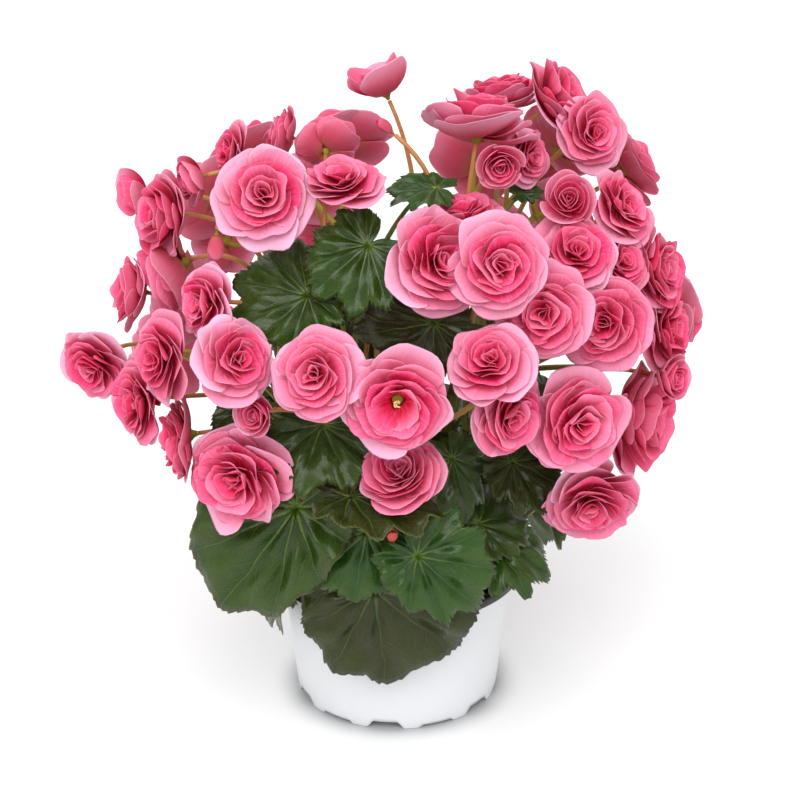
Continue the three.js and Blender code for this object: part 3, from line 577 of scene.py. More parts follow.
def bezier(corners, t):
    """The cubic (1-t)^3 a + 3 t (1-t)^2 b + 3 t^2 (1-t) c + t^3 d."""
    a, b, c, d = corners
    t = np.asarray(t, float)[:, None]
    return (1 - t) ** 3 * a + 3 * t * (1 - t) ** 2 * b + 3 * t**2 * (1 - t) * c + t**3 * d


def stalk_corners(start, end, arrival, swing, pull):
    """The four corners of a stalk's Bezier curve, which arrives along a direction."""
    bend = end - arrival * np.linalg.norm(end - start) * pull + 0.6 * swing
    return start, start + (bend - start) * 0.4 + swing, bend, end


def stalk_ways(start, end, arrival):
    """The ways round that a stalk may take, as the corners of their curves."""
    basis = frame_of(end - start, [0.1, 0.2, 1])
    for pull in PULLS:
        for reach in SWINGS:
            for turn in range(8 if reach else 1):
                angle = math.pi / 4 * turn
                swing = basis @ np.array([reach * math.cos(angle), reach * math.sin(angle), 0])
                yield stalk_corners(start, end, arrival, swing, pull)


def fit_stalk(points, start, end, arrival, radius):
    """The way whose rings, a third and two thirds along, have the most corners among the solid's points."""
    best, most = None, -1
    fine = np.linspace(0, 1, 61)
    for corners in stalk_ways(start, end, arrival):
        path = bezier(corners, fine)
        gone = np.concatenate([[0], np.cumsum(np.linalg.norm(np.diff(path, axis=0), axis=1))])
        rings = bezier(corners, np.interp(gone[-1] * np.array([1, 2]) / 3, gone, fine))
        far = np.linalg.norm(points[:, None] - rings[None], axis=2)
        found = int((np.abs(far - radius) < 0.06).sum())
        if found > most:
            best, most = corners, found
    return best, most


def add_stalk(surface, corners, thick, thin, low, high, sides=10, steps=26):
    """Adds a stalk that tapers from one radius to another, with stage running from low to high along it."""
    t = np.linspace(0, 1, steps)
    path = bezier(corners, t * 0.995)
    flare = 1 + 0.5 * np.exp(-t * 14)
    knob = 1 + 0.05 * np.sin(t * 23 + corners[3][0])
    add_tube(surface, path, (thick + (thin - thick) * t) * flare * knob, sides, stage=low + (high - low) * t)


# ---------------------------------------------------------------- leaves
# Name, pixel of the joint, the joint's y, length in pixels, width, degrees turned away, side turned to, the
# tip's heading, droop, fold, wider half, then warm (purplish), cool (bluish), pale edge, all 0 to 1.
LEAVES = [
    ("top_left", 437, 188, -30, 52, 0.9, 50, 90, 165, 0.1, 0.1, 1, 0.0, 0.5, 1.0),
    ("upper_left", 308, 296, -78, 88, 1.05, 28, 100, 195, 0.15, 0.1, -1, 0.1, 0.1, 0.5),
    ("upper_middle", 368, 245, -72, 76, 1.1, 18, 90, 222, 0.15, 0.1, 1, 0.2, 0.3, 0.5),
    ("dark_middle", 434, 323, -84, 80, 1.3, 35, 255, 237, 0.1, 0.15, -1, 1.0, 0.0, 0.3),
    ("middle_left", 322, 425, -78, 72, 1.3, 30, 90, 255, 0.2, 0.1, 1, 0.3, 0.2, 0.5),
    ("small_left", 250, 402, -62, 48, 1, 35, 120, 215, 0.1, 0.1, 1, 0.1, 0.1, 0.4),
    ("draped_left", 296, 508, -80, 150, 0.8, 16, 215, 232, 0.08, 0.1, -1, 0.3, 0.2, 0.6),
    ("low_middle", 366, 532, -84, 84, 1, 14, 260, 226, 0.1, 0.1, 1, 0.0, 0.9, 0.6),
    ("low_right", 417, 556, -92, 92, 0.9, 12, 290, 316, 0.12, 0.1, 1, 0.0, 0.8, 0.4),
    ("hanging_front", 374, 590, -78, 120, 1.15, 26, 268, 275, 0.04, 0.06, 1, 0.9, 0.05, 0.0),
    ("olive_edge", 350, 497, -86, 98, 1, 62, 85, 350, 0.1, 0.1, 1, 0.7, 0.0, 1.0),
    ("inner_right", 452, 458, -64, 70, 1.1, 40, 20, 288, 0.15, 0.1, -1, 0.4, 0.3, 0.5),
    ("right_dark", 478, 524, -62, 66, 1.2, 42, 60, 30, 0.15, 0.1, 1, 0.5, 0.3, 0.4),
    ("right_low", 490, 536, -60, 74, 1.1, 42, 65, 335, 0.2, 0.1, -1, 0.3, 0.5, 0.4),
    ("right_far", 556, 492, -30, 46, 0.9, 55, 80, 20, 0.15, 0.1, 1, 0.4, 0.2, 0.4),
    ("top_small", 520, 194, -6, 26, 0.9, 45, 90, 20, 0.1, 0.1, 1, 0.1, 0.3, 0.6),
    ("inner_dark", 352, 316, -14, 70, 1, 22, 90, 262, 0.1, 0.1, 1, 0.8, 0.0, 0.2),
    ("inner_low", 512, 462, -30, 60, 1.1, 30, 60, 300, 0.1, 0.1, 1, 0.7, 0.0, 0.2),
    ("inner_far", 560, 396, -30, 58, 1.1, 30, 60, 300, 0.1, 0.1, 1, 0.8, 0.0, 0.2),
]
# Leaves round the back and inside: angle round the pot, distance from its axis, height, length, and how far
# they face up.
BACK_LEAVES = [
    (20, 52, 118, 56, 0.8),
    (50, 50, 136, 60, 0.8),
    (76, 56, 120, 50, 0.7),
    (105, 50, 142, 56, 0.8),
    (134, 56, 122, 50, 0.7),
    (162, 54, 136, 50, 0.8),
    (62, 44, 190, 54, 0.9),
    (95, 50, 208, 50, 0.9),
    (128, 60, 192, 46, 0.9),
    (30, 62, 166, 44, 0.9),
    (150, 60, 162, 44, 0.9),
    (90, 58, 80, 44, 0.4),
    (80, 16, 226, 45, 2.5),
    (25, 44, 232, 40, 2.5),
    (182, 46, 120, 60, 0.8),
    (196, 50, 94, 50, 0.5),
    (2, 46, 112, 52, 0.8),
]
BACK_SEED = 41
BACK_WIDTH, BACK_DROOP, BACK_FOLD = 1.15, 0.2, 0.1
LEAF = 0.9  # thickness of a solid's blade
LEAF_STEP = 2.5
LEAF_STEPS = 16
BLADE_EDGE = np.array(
    [[0, 1], [18, 0.8], [31, 0.84], [48, 0.66], [66, 0.7], [88, 0.58], [114, 0.58], [142, 0.46], [172, 0.06]]
)
BLADE_RIM = np.array(  # the same outline without its lobes: degrees from the midrib, and distance
    [[0, 0.93], [31, 0.84], [62, 0.7], [93, 0.61], [124, 0.55]]
    + [[150, 0.42], [168, 0.24], [176, 0.08], [180, 0.045]]
)
LOBE, SCALLOP, TOOTH = 0.07, 0.026, 0.02  # how far the three sizes of its cuts reach
CUT_LENGTH, CUT_POWER = 46, 1.8  # shorter blades than this are cut deeper, and longer ones less
BLADE_CORNERS, RAY_CORNERS = 289, 14  # corners round a blade, and along each of its rays
RIPPLE, QUILT, CURL = 0.03, 0.03, 0.05  # how far the rim waves, the panels rise and the rim turns down
LOPSIDED = 0.14
VEIN_TURN = math.radians(31.0)  # angle between the veins that leave the joint
TOOTH_TURN = math.radians(5.0)
BLADE_THICKNESS = 0.5


def first_draw(seed):
    """The first number, from -1 to 1, of the random run that a solid's wave takes its phase from."""
    state = (seed * 2654435761) % 2**32
    state = ((state ^ (state >> 15)) * 2246822519 + 3266489917) % 2**32
    return state / 2**31 - 1


def blade_point(angle, share, shape, phase):
    """A point of a blade at an angle from its midrib and a share of its length, in the blade's own frame.

    along = L s cos a; across = L s sin a w (1 +- lopsided); z = 0.05 L s sin(3a + phase)
    - droop L s^2 (0.4 + 0.6 max(0, cos a)) + fold |across| / 2."""
    length, width, droop, fold, flip = shape
    half = 1 + LOPSIDED * np.sign(np.sin(angle) * flip)
    along = length * share * np.cos(angle)
    across = length * share * np.sin(angle) * width * half
    wave = 0.05 * length * share * np.sin(3 * angle + phase)
    bend = -droop * length * share**2 * (0.4 + 0.6 * np.maximum(0, np.cos(angle)))
    return np.stack([along, across, wave + bend + fold * np.abs(across) / 2], axis=-1)


def add_blade(surface, shape, seed, basis, place, **tones):
    """Adds a leaf blade: rays from the joint, each as long as the cut edge is far at its angle a.

    The edge e is BLADE_RIM's distance times 1 + lobes + scallops + teeth: a cosine with a crest at each vein,
    the size of a faster sine, and a saw, all deeper on short blades. A point at the share r of its ray rises
    by RIPPLE L r^3 sin(9a + 2 phase) - QUILT L cos(2 pi a / VEIN_TURN) - CURL L r^6 e, which waves the rim,
    lifts the panels between the veins and turns the rim down."""
    length = shape[0]
    phase = math.pi * first_draw(seed)
    angle = np.radians(np.linspace(-180, 180, BLADE_CORNERS))[None, :]
    ray = (np.linspace(0.0006, 1, RAY_CORNERS) ** 0.85)[:, None]
    edge = np.interp(np.degrees(np.abs(angle)), BLADE_RIM[:, 0], BLADE_RIM[:, 1])
    turns = np.abs(angle) / VEIN_TURN
    saw = (np.abs(angle) / TOOTH_TURN + 0.7 * np.sin(5 * angle + phase)) % 1
    lobes = LOBE * np.cos(2 * np.pi * turns) * (1 + 0.5 * np.sin(3 * angle + 3 * phase))
    uneven = 1 + 0.5 * np.sin(7 * angle + phase)
    scallops = SCALLOP * np.abs(np.sin(2 * np.pi * turns * 1.5 + phase)) * uneven
    teeth = TOOTH * (0.5 - saw) * (1 + 0.6 * np.sin(11 * angle + 5 * phase))
    small = (CUT_LENGTH / length) ** CUT_POWER
    cuts = lobes * np.clip(small, 0.5, 1.1) + (scallops + teeth * 2) * np.clip(small, 0.5, 1.7)
    edge = edge * (1 + cuts * smoothstep(edge, 0.1, 0.5))
    share = ray * edge
    grid = blade_point(angle, share, shape, phase)
    ripple = RIPPLE * length * ray**3 * np.sin(9 * angle + 2 * phase) * smoothstep(edge, 0.1, 0.5)
    quilt = QUILT * length * smoothstep(share, 0.05, 0.5) * np.cos(2 * np.pi * angle / VEIN_TURN)
    quilt = quilt * (1 + 0.6 * np.sin(15 * share + 4 * angle + phase))
    curl = CURL * length * ray**6 * edge
    grid[..., 2] += ripple - quilt - curl
    grid = grid @ basis.T + place
    lx, ly = share * np.cos(angle), share * np.sin(angle)
    add_sheet(surface, grid, BLADE_THICKNESS, lx=lx, ly=ly, rim=ray + 0 * edge, **tones)


def leaf_rows():
    """Each leaf's shape, seed, joint, facing, tip's direction, line that it shifts along, and tones."""
    for index, row in enumerate(LEAVES):
        name, px, py, y, length, width, turn, side, heading, droop, fold, flip, warm, cool, pale = row
        joint = on_plane(px, py, y)
        out = facing(turn, side)
        seen = facing(90, heading)
        tip = unit(seen - out * (seen @ out))
        size = length * ((joint - EYE) @ SIGHT) / FOCAL_PIXELS
        shape = (size, width, droop, fold, flip)
        yield shape, index + 1, joint, out, tip, sight_line(px, py), (warm, cool, pale)
    for index, (around, radius, height, length, up) in enumerate(BACK_LEAVES):
        around = math.radians(around)
        outward = np.array([math.cos(around), math.sin(around), 0])
        out = unit(outward + [0, 0, up])
        tip = unit(outward * up - [0, 0, 1])
        shape = (length, BACK_WIDTH, BACK_DROOP, BACK_FOLD, 1 if index % 2 else -1)
        joint = outward * radius + [0, 0, height]
        warm = (index * GOLDEN_SHARE) % 1
        yield shape, index + BACK_SEED, joint, out, tip, outward, (warm * 0.6, 0.5 - warm / 2, 0.4)


def fit_leaf(stems, shape, seed, joint, basis, line):
    """The stem and place whose solid has the most points where the blade's outline would be."""
    angle = np.radians(np.concatenate([BLADE_EDGE[:, 0], -BLADE_EDGE[1:, 0]]))
    share = np.concatenate([BLADE_EDGE[:, 1], BLADE_EDGE[1:, 1]])
    outline = blade_point(angle, share, shape, math.pi * first_draw(seed))
    outline[:, 2] += LEAF / 2
    outline = outline @ basis.T + joint
    best, most = None, -1
    for step in range(LEAF_STEPS):
        shift = LEAF_STEP * math.ceil(step / 2) * (1 if step % 2 else -1)
        here = outline + line * shift
        for stem in stems:
            far = np.linalg.norm(stem["points"][:, None] - here[None], axis=2).min(axis=0)
            found = int((far < 0.05).sum())
            if found > most:
                best, most = (stem, joint + line * shift), found
    return best


# ---------------------------------------------------------------- materials
PETAL_SHEER, LEAF_SHEER, STEM_SHEER = 0.22, 0.12, 0.12  # share of light that shines through
SHADE_IN, SHADE_OUT, SHADE_DEPTH = 4, 20, 0.8  # the floor's painted contact shadow: how far it reaches inside and outside the foot, and its depth


def linear(red, green, blue):
    """A screen colour of 0 to 255 in linear light: ((c + 0.055) / 1.055)^2.4."""
    return tuple(((c / 255 + 0.055) / 1.055) ** 2.4 for c in (red, green, blue))


class Shade:
    """A number in a material, with arithmetic that makes Math nodes."""

    def __init__(self, paint, socket):
        self.paint, self.socket = paint, socket

    def call(self, operation, *others):
        """The result of a Math node on this number and others."""
        return self.paint.node("ShaderNodeMath", [self, *others], operation=operation)

    def __add__(self, other):
        return self.call("ADD", other)

    def __sub__(self, other):
        return self.call("SUBTRACT", other)

    def __mul__(self, other):
        return self.call("MULTIPLY", other)

    def __truediv__(self, other):
        return self.call("DIVIDE", other)

    def __pow__(self, other):
        return self.call("POWER", other)

    def __rsub__(self, other):
        return self.paint.node("ShaderNodeMath", [other, self], operation="SUBTRACT")

    __radd__, __rmul__ = __add__, __mul__

    def band(self, low, high):
        """A smooth step from 0 at low to 1 at high."""
        inputs = {"Value": self, "From Min": low, "From Max": high}
        return self.paint.node("ShaderNodeMapRange", inputs, interpolation_type="SMOOTHSTEP")

    def most(self, other):
        """The larger of two numbers."""
        return self.call("MAXIMUM", other)


class Paint:
    """The nodes of a new material or world."""

    def __init__(self, owner):
        owner.use_nodes = True
        self.owner, self.tree = owner, owner.node_tree
        self.tree.nodes.clear()

    def node(self, kind, inputs=(), out=0, **settings):
        """Adds a node of a kind with its settings and inputs, and gives one of its outputs."""
        made = self.tree.nodes.new(kind)
        for key, value in settings.items():
            setattr(made, key, value)
        pairs = inputs.items() if isinstance(inputs, dict) else enumerate(inputs)
        for key, value in pairs:
            if isinstance(value, Shade):
                self.tree.links.new(value.socket, made.inputs[key])
            else:
                made.inputs[key].default_value = value
        return Shade(self, made.outputs[out])

    def read(self, name):
        """A number stored at the mesh's corners."""
        return self.node("ShaderNodeAttribute", out="Fac", attribute_name=name)

    def place(self):
        """The point in the part's own frame, in metres."""
        return self.node("ShaderNodeTexCoord", out="Object")

    def vector(self, x, y, z=0.0):
        """A vector of three numbers."""
        return self.node("ShaderNodeCombineXYZ", [x, y, z])

    def noise(self, vector, scale, detail=3.0):
        """Noise from 0 to 1."""
        inputs = {"Vector": vector, "Scale": scale, "Detail": detail}
        return self.node("ShaderNodeTexNoise", inputs, out="Fac")

    def mix(self, factor, first, second):
        """The colour first at factor 0 and second at factor 1."""
        first, second = (c if isinstance(c, Shade) else (*c[:3], 1.0) for c in (first, second))
        inputs = {"Factor": factor, 6: first, 7: second}
        return self.node("ShaderNodeMix", inputs, out=2, data_type="RGBA")

    def bump(self, height, strength, distance):
        """A normal bent by a height."""
        inputs = {"Height": height, "Strength": strength, "Distance": distance}
        return self.node("ShaderNodeBump", inputs, out="Normal")

    def finish(self, inputs, sheer=None, through=0.0):
        """Ends the material with a Principled shader, through which a share of light in sheer passes."""
        shader = self.node("ShaderNodeBsdfPrincipled", inputs)
        if sheer is not None:
            glow = self.node("ShaderNodeBsdfTranslucent", {"Color": (*sheer[:3], 1.0)})
            shader = self.node("ShaderNodeMixShader", [through, shader, glow])
        return self.end("ShaderNodeOutputMaterial", shader)

    def end(self, kind, shader):
        """Links a shader to an output of a kind, and gives the material or world."""
        last = self.tree.nodes.new(kind)
        self.tree.links.new(shader.socket, last.inputs["Surface"])
        return self.owner


def petal_material(name, colours):
    """Pink petals: crimson towards each petal's root, partly their own colour and partly painted shade in the
    flower's recesses, paler on the outer rings and along their rims, dusky behind.

    ring is -1 on the green base and -2 on the pale styles."""
    p = Paint(bpy.data.materials.new(name))
    along, across, ring, tone = p.read("along"), p.read("across"), p.read("ring"), p.read("tone")
    pale, front = p.read("pale"), p.read("face")
    streak = p.noise(p.vector(across * 7, along * 1.2, tone * 19 + ring * 7), 2.0, 3)
    cloud = p.noise(p.place(), 90, 3)
    outer = ring.band(0.7, 1.0)
    # crimson towards each petal's root: partly the petals' own deeper colour, partly painted shade in the
    # flower's recesses
    depth = (1 - along.band(0.2, 0.95)) * (1 - outer * 0.45)
    colour = p.mix(depth, colours.petal_middle, colours.petal_deep_and_shade)
    lightness = (0.08 + tone * 0.4 + outer * (0.2 + pale * 0.7)) * along.band(0.25, 1.05)
    colour = p.mix(lightness, colour, colours.petal_light)
    colour = p.mix(streak.band(0.45, 0.75) * 0.22, colour, colours.petal_light)
    colour = p.mix(cloud.band(0.4, 0.75) * 0.2 * (1 - outer * 0.5), colour, colours.petal_deep_and_shade)
    rim = across.call("ABSOLUTE").band(0.8, 1.0).most(along.band(0.86, 1.0))
    colour = p.mix(rim * 0.1, colour, colours.petal_rim)
    behind = (1 - front) * (0.15 + outer * (0.85 - pale * 0.5)) * (1 - along.band(0.5, 1.0) * 0.5)
    colour = p.mix(behind, colour, colours.petal_back)
    colour = p.mix((1 - front) * outer * (1 - along.band(0.0, 0.4)) * 0.45, colour, colours.calyx_green)
    colour = p.mix((ring * -1).band(0.4, 0.6), colour, colours.calyx_green)
    colour = p.mix((ring * -1).band(1.4, 1.6), colour, colours.style_cream)
    normal = p.bump(streak + cloud * 2, 0.4, 0.0008)
    inputs = {"Base Color": colour, "Roughness": 0.6, "Normal": normal, "Specular IOR Level": 0.15}
    inputs["Specular Tint"] = (1.0, 0.25, 0.45, 1.0)
    return p.finish(inputs, colours.petal_glow, PETAL_SHEER)


def leaf_material(name, colours):
    """Glossy green blades with branching veins, a painted highlight on the panels between them, painted shade
    towards the joint, and a pale reddish rim.
    """
    p = Paint(bpy.data.materials.new(name))
    x, y, rim = p.read("lx"), p.read("ly"), p.read("rim")
    warm, cool, pale, front = p.read("warm"), p.read("cool"), p.read("pale"), p.read("face")
    angle = y.call("ARCTAN2", x)
    share = (x * x + y * y) ** 0.5
    turns = angle / VEIN_TURN
    wander = p.noise(p.vector(x * 3, y * 3, warm * 9), 1.0, 1) - 0.5
    turns = turns + wander * 0.3
    off = (turns - turns.call("ROUND")) * VEIN_TURN
    sideways = share * off.call("SINE").call("ABSOLUTE")
    forward = share * off.call("COSINE")
    grain = p.noise(p.vector(x * 7, y * 7, warm * 5), 1.0, 2)
    thick = 0.012 * (1.3 - rim)
    main = 1 - sideways.band(thick * 0.4, thick * 1.5)
    twig = ((forward - sideways * 1.1 + grain * 0.06) * 11).call("FRACT")
    twig = 1 - (twig - 0.5).call("ABSOLUTE").band(0.0, 0.11)
    twig = twig * sideways.band(0.0, 0.02) * (1 - rim.band(0.75, 1.0))
    inputs = {"Vector": p.vector(x, y), "Scale": 34.0}
    cells = p.node("ShaderNodeTexVoronoi", inputs, feature="DISTANCE_TO_EDGE")
    net = 1 - cells.band(0.0, 0.12)
    veins = main.most(twig * 0.4).most(net * 0.14)
    colour = p.mix(warm, colours.leaf_green, colours.leaf_purple)
    colour = p.mix(cool, colour, colours.leaf_blue)
    # painted highlight: lighter green on the raised panels between the veins, where light catches them
    fresh = sideways.band(0.015, 0.08) * rim.band(0.25, 0.95) * grain.band(0.25, 0.75)
    colour = p.mix(fresh * (0.55 - warm * 0.4), colour, colours.leaf_panel_highlight)
    # darker in random patches, and painted shade towards the leaf's joint
    colour = p.mix(grain.band(0.3, 0.7) * 0.25 + (1 - rim.band(0.0, 0.6)) * 0.35, colour, colours.leaf_dark_and_shade)
    star = main * (1 - rim.band(0.04, 0.45)) * (0.45 - warm * 0.25)
    colour = p.mix(veins * (0.24 + pale * 0.3) + star, colour, colours.leaf_vein)
    edge = rim.band(0.965, 1.0)
    colour = p.mix(edge * (0.2 + pale * 0.6), colour, colours.leaf_rim)
    colour = p.mix((1 - front) * 0.55, colour, colours.leaf_under)
    height = 1 - main * 0.9 - twig * 0.5 - net * 0.25
    normal = p.bump(height + grain * 0.5, 0.7, 0.0013)
    rough = 0.28 + grain * 0.14 + (1 - front) * 0.25
    inputs = {"Base Color": colour, "Roughness": rough, "Normal": normal, "Specular IOR Level": 0.3}
    inputs |= {"Coat Weight": 0.5, "Coat Roughness": 0.24, "Specular Tint": (0.8, 1.0, 0.4, 1.0)}
    return p.finish(inputs, colours.leaf_glow, LEAF_SHEER)


def stem_material(name, colours):
    """Juicy stems, green below and reddish orange near the flowers, with a fine grain."""
    p = Paint(bpy.data.materials.new(name))
    stage = p.read("stage")
    grain = p.noise(p.place(), 260, 3)
    blotch = p.noise(p.place(), 45, 2)
    colour = p.mix((stage + blotch * 0.4 - 0.2).band(0.35, 1.05), colours.stem_green, colours.stem_red)
    colour = p.mix(grain.band(0.4, 0.8) * 0.3, colour, colours.calyx_green)
    colour = p.mix(stage.band(1.4, 1.6), colour, colours.bud_coral)
    normal = p.bump(grain, 0.3, 0.0005)
    inputs = {"Base Color": colour, "Roughness": 0.42, "Normal": normal}
    return p.finish(inputs, colours.stem_green, STEM_SHEER)


def pot_material(name, colours):
    """Smooth moulded plastic, white outside, and black on the rim and inside."""
    p = Paint(bpy.data.materials.new(name))
    dark = p.read("dark").band(0.45, 0.55)
    cloud = p.noise(p.place(), 55, 3)
    scuff = p.noise(p.place(), 900, 2)
    colour = p.mix(dark, p.mix(cloud * 0.08, colours.pot_white, colours.pot_shade), colours.pot_black)
    rough = 0.3 + cloud * 0.08 + dark * 0.08
    inputs = {"Base Color": colour, "Roughness": rough, "Normal": p.bump(scuff, 0.05, 0.0002)}
    return p.finish(inputs)


def soil_material(name, colours):
    """Damp brown peat with lighter fibres and crumbs."""
    p = Paint(bpy.data.materials.new(name))
    crumbs = p.noise(p.place(), 420, 5)
    patch = p.noise(p.place(), 90, 3)
    pale = p.read("pale")
    colour = p.mix(crumbs.band(0.3, 0.75), colours.soil_dark, colours.soil_brown)
    colour = p.mix(patch.band(0.55, 0.8) * 0.35 + pale, colour, colours.soil_fibre)
    return p.finish({"Base Color": colour, "Roughness": 0.9, "Normal": p.bump(crumbs, 0.8, 0.002)})


def floor_material(name, colours):
    """A matt white studio sweep with a trace of grain, and a painted contact shadow close to the pot's foot.
    """
    p = Paint(bpy.data.materials.new(name))
    cloud = p.noise(p.place(), 3, 2)
    colour = p.mix(cloud * 0.02, colours.floor_white, colours.pot_white)
    away = p.node("ShaderNodeVectorMath", {0: p.place()}, out="Value", operation="LENGTH")
    # painted contact shadow: the floor turns grey close to the pot's foot
    near = 1 - away.band((FOOT_RADIUS - SHADE_IN) * MM, (FOOT_RADIUS + SHADE_OUT) * MM)
    colour = p.mix(near * near * SHADE_DEPTH, colour, colours.floor_shade)
    return p.finish({"Base Color": colour, "Roughness": 0.7, "Specular IOR Level": 0.2})


# ---------------------------------------------------------------- pot and soil
RIM_RADIUS, POT_HEIGHT, WALL_TOP_RADIUS, FOOT_RADIUS = 65.0, 73.0, 60.0, 52.0
WALL, RIM_DEPTH, CHANNEL, FOOT_RING = 1.6, 5.0, 3.0, 5.0
FOOT_COUNT, FOOT_FIRST, FOOT_WIDTH, FOOT_HEIGHT, FOOT_SCALLOP = 6, -96.5, 19.0, 4.3, 1.6
FOOT_SLOPE = 0.7
RIM_CORNER = 1.0
POT_SIDES, SOIL_SIDES = 288, 96
SOIL_SEED, CRUMBS = 7, 420


def wall_radius(z):
    """The wall's outer radius at a height: the foot's radius plus an even share of the flare."""
    return FOOT_RADIUS + (WALL_TOP_RADIUS - FOOT_RADIUS) * np.asarray(z) / POT_HEIGHT


def arc(r, z, radius, start, end, steps=6):
    """Points on a circle of a turned outline, from one angle to another in degrees."""
    a = np.radians(np.linspace(start, end, steps))
    return np.stack([r + radius * np.cos(a), z + radius * np.sin(a)], axis=-1)


def pot_outline():
    """The pot's turned outline from the middle of its underside round its rim to the middle of its floor.

    The second result is 1 where the plastic is black."""
    low = POT_HEIGHT - RIM_DEPTH
    ring_in = FOOT_RADIUS - FOOT_RING
    roll = 1.9
    top, out = POT_HEIGHT - roll, RIM_RADIUS - roll
    floor = CHANNEL + WALL
    white = [
        [[0.0, 0.0], [ring_in - 11, 0.0], [ring_in - 9, CHANNEL], [ring_in - 1, CHANNEL]],
        arc(ring_in + 0.5, 0.5, 0.5, 180, 270, 4),
        arc(FOOT_RADIUS - 0.6, 0.6, 0.6, 270, 360, 4),
        [[wall_radius(z), z] for z in np.linspace(3, low - 0.4, 20)],
        [[wall_radius(low), low - 0.05]],
    ]
    black = [
        [[wall_radius(low) + 0.06, low]],
        arc(RIM_RADIUS - RIM_CORNER, low + RIM_CORNER, RIM_CORNER, 270, 360, 5),
        arc(out, top, roll, 0, 90, 9),
        arc(WALL_TOP_RADIUS + 1.6, POT_HEIGHT - 1.6, 1.6, 90, 180, 7),
        [[wall_radius(low) - WALL, low - 1], [wall_radius(30) - WALL, 30]],
        arc(wall_radius(floor) - WALL - 1.5, floor + 1.5, 1.5, 0, -90, 5),
        [[0.0, floor]],
    ]
    points = [np.concatenate([np.asarray(s, float) for s in side]) for side in (white, black)]
    dark = np.concatenate([np.zeros(len(points[0])), np.ones(len(points[1]))])
    return np.concatenate(points), dark


def foot_lift(angle):
    """How high the foot's notches and scallops stand at an angle: an even slope up to a flat top."""
    lift = np.zeros_like(angle)
    for k, height in ((0.0, FOOT_HEIGHT), (0.5, FOOT_SCALLOP)):
        turn = 2 * np.pi / FOOT_COUNT
        off = (angle - math.radians(FOOT_FIRST) - k * turn + turn / 2) % turn - turn / 2
        slope = (FOOT_WIDTH / 2 - np.abs(off) * FOOT_RADIUS) / FOOT_SLOPE
        lift = np.maximum(lift, np.clip(slope, 0, height))
    return lift


def build_pot(material):
    """Turns the outline into the pot and lifts the ring it stands on at the notches."""
    outline, dark = pot_outline()
    angle = np.linspace(0, 2 * np.pi, POT_SIDES, endpoint=False)
    r, z = outline[:, :1], outline[:, 1:]
    ring = (r > FOOT_RADIUS - FOOT_RING - 0.2) & (np.arange(len(outline))[:, None] < len(outline) // 2)
    height = np.where(ring, np.maximum(z, foot_lift(angle)[None, :]), z + 0 * angle[None, :])
    grid = np.stack([r * np.cos(angle), r * np.sin(angle), height], axis=-1)
    surface = Surface("dark")
    faces = grid_faces(len(outline), POT_SIDES, wrap=True)[:, ::-1]
    surface.add(grid.reshape(-1, 3), faces, dark=np.repeat(dark, POT_SIDES))
    pot = surface.piece("pot_shell", material)
    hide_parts("pot")


def build_soil(material):
    """A lumpy round of peat that fills the pot, strewn with crumbs."""
    random = np.random.default_rng(SOIL_SEED)
    surface = Surface("pale")
    bottom = CHANNEL + WALL + GAP
    inner = wall_radius(SOIL_LEVEL) - WALL - GAP - 1.2
    angle = np.linspace(0, 2 * np.pi, SOIL_SIDES, endpoint=False)
    rings = [(0.01, bottom), (wall_radius(bottom) - WALL - GAP - 1.8, bottom), (inner - 0.6, SOIL_LEVEL - 3)]
    rings += [(inner * s, SOIL_LEVEL - 1.5 + 1.5 * (1 - s**6)) for s in np.linspace(1, 0.002, 30)]
    r, z = np.array(rings)[:, :1], np.array(rings)[:, 1:]
    x, y = r * np.cos(angle), r * np.sin(angle)
    lump = np.sin(x * 0.31) * np.cos(y * 0.27) + 0.5 * np.sin(x * 0.9 + y * 0.7)
    lump = lump + 0.3 * np.sin(y * 1.9 - x * 1.3)
    height = z + np.where(z > SOIL_LEVEL - 2, lump * 0.7 + random.normal(0, 0.16, x.shape), 0)
    faces = grid_faces(len(rings), SOIL_SIDES, wrap=True)[:, ::-1]
    surface.add(np.stack([x, y, height], axis=-1).reshape(-1, 3), faces)
    for _ in range(CRUMBS):
        far, turn = inner * math.sqrt(random.random()) * 0.96, random.uniform(0, 2 * np.pi)
        size = random.uniform(0.5, 1.7)
        level = SOIL_LEVEL + random.uniform(-0.2, 0.9)
        middle = np.array([far * math.cos(turn), far * math.sin(turn), level])
        way = unit(random.normal(0, 1, 3) * [1, 1, 0.4])
        path = middle + way * size * np.array([-1, -0.4, 0.4, 1])[:, None]
        widths = size * np.array([0.35, 0.75, 0.7, 0.3]) * random.uniform(0.6, 1.1)
        add_tube(surface, path, widths, 5, pale=0.5 * (random.random() > 0.8))
    soil = surface.piece("peat", material)
    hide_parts("soil")


# ---------------------------------------------------------------- the plant's parts
def load_stems():
    """Each stem's name, curve, solid's points, and places for the stalks and blades that it bears."""
    return [
        {"name": name, "at": stem_curve(foot, head), "points": node_points(name), "stalks": [], "blades": []}
        for name, foot, head in STEMS
    ]


def fork_share(index):
    """How far up its stem a flower's stalk forks: golden steps over the upper part."""
    return LEAST_FORK + (1 - LEAST_FORK) * ((index * GOLDEN_SHARE) % 1)


def join_stalk(stems, fork, end, arrival, radius):
    """Finds the stem and the way of the stalk that ends at a point."""
    best, most = None, -1
    for stem in sorted(stems, key=lambda s: np.linalg.norm(s["at"](1) - end)):
        corners, found = fit_stalk(stem["points"], stem["at"](fork), end, arrival, radius)
        if found > most:
            best, most = (stem, corners), found
    return best


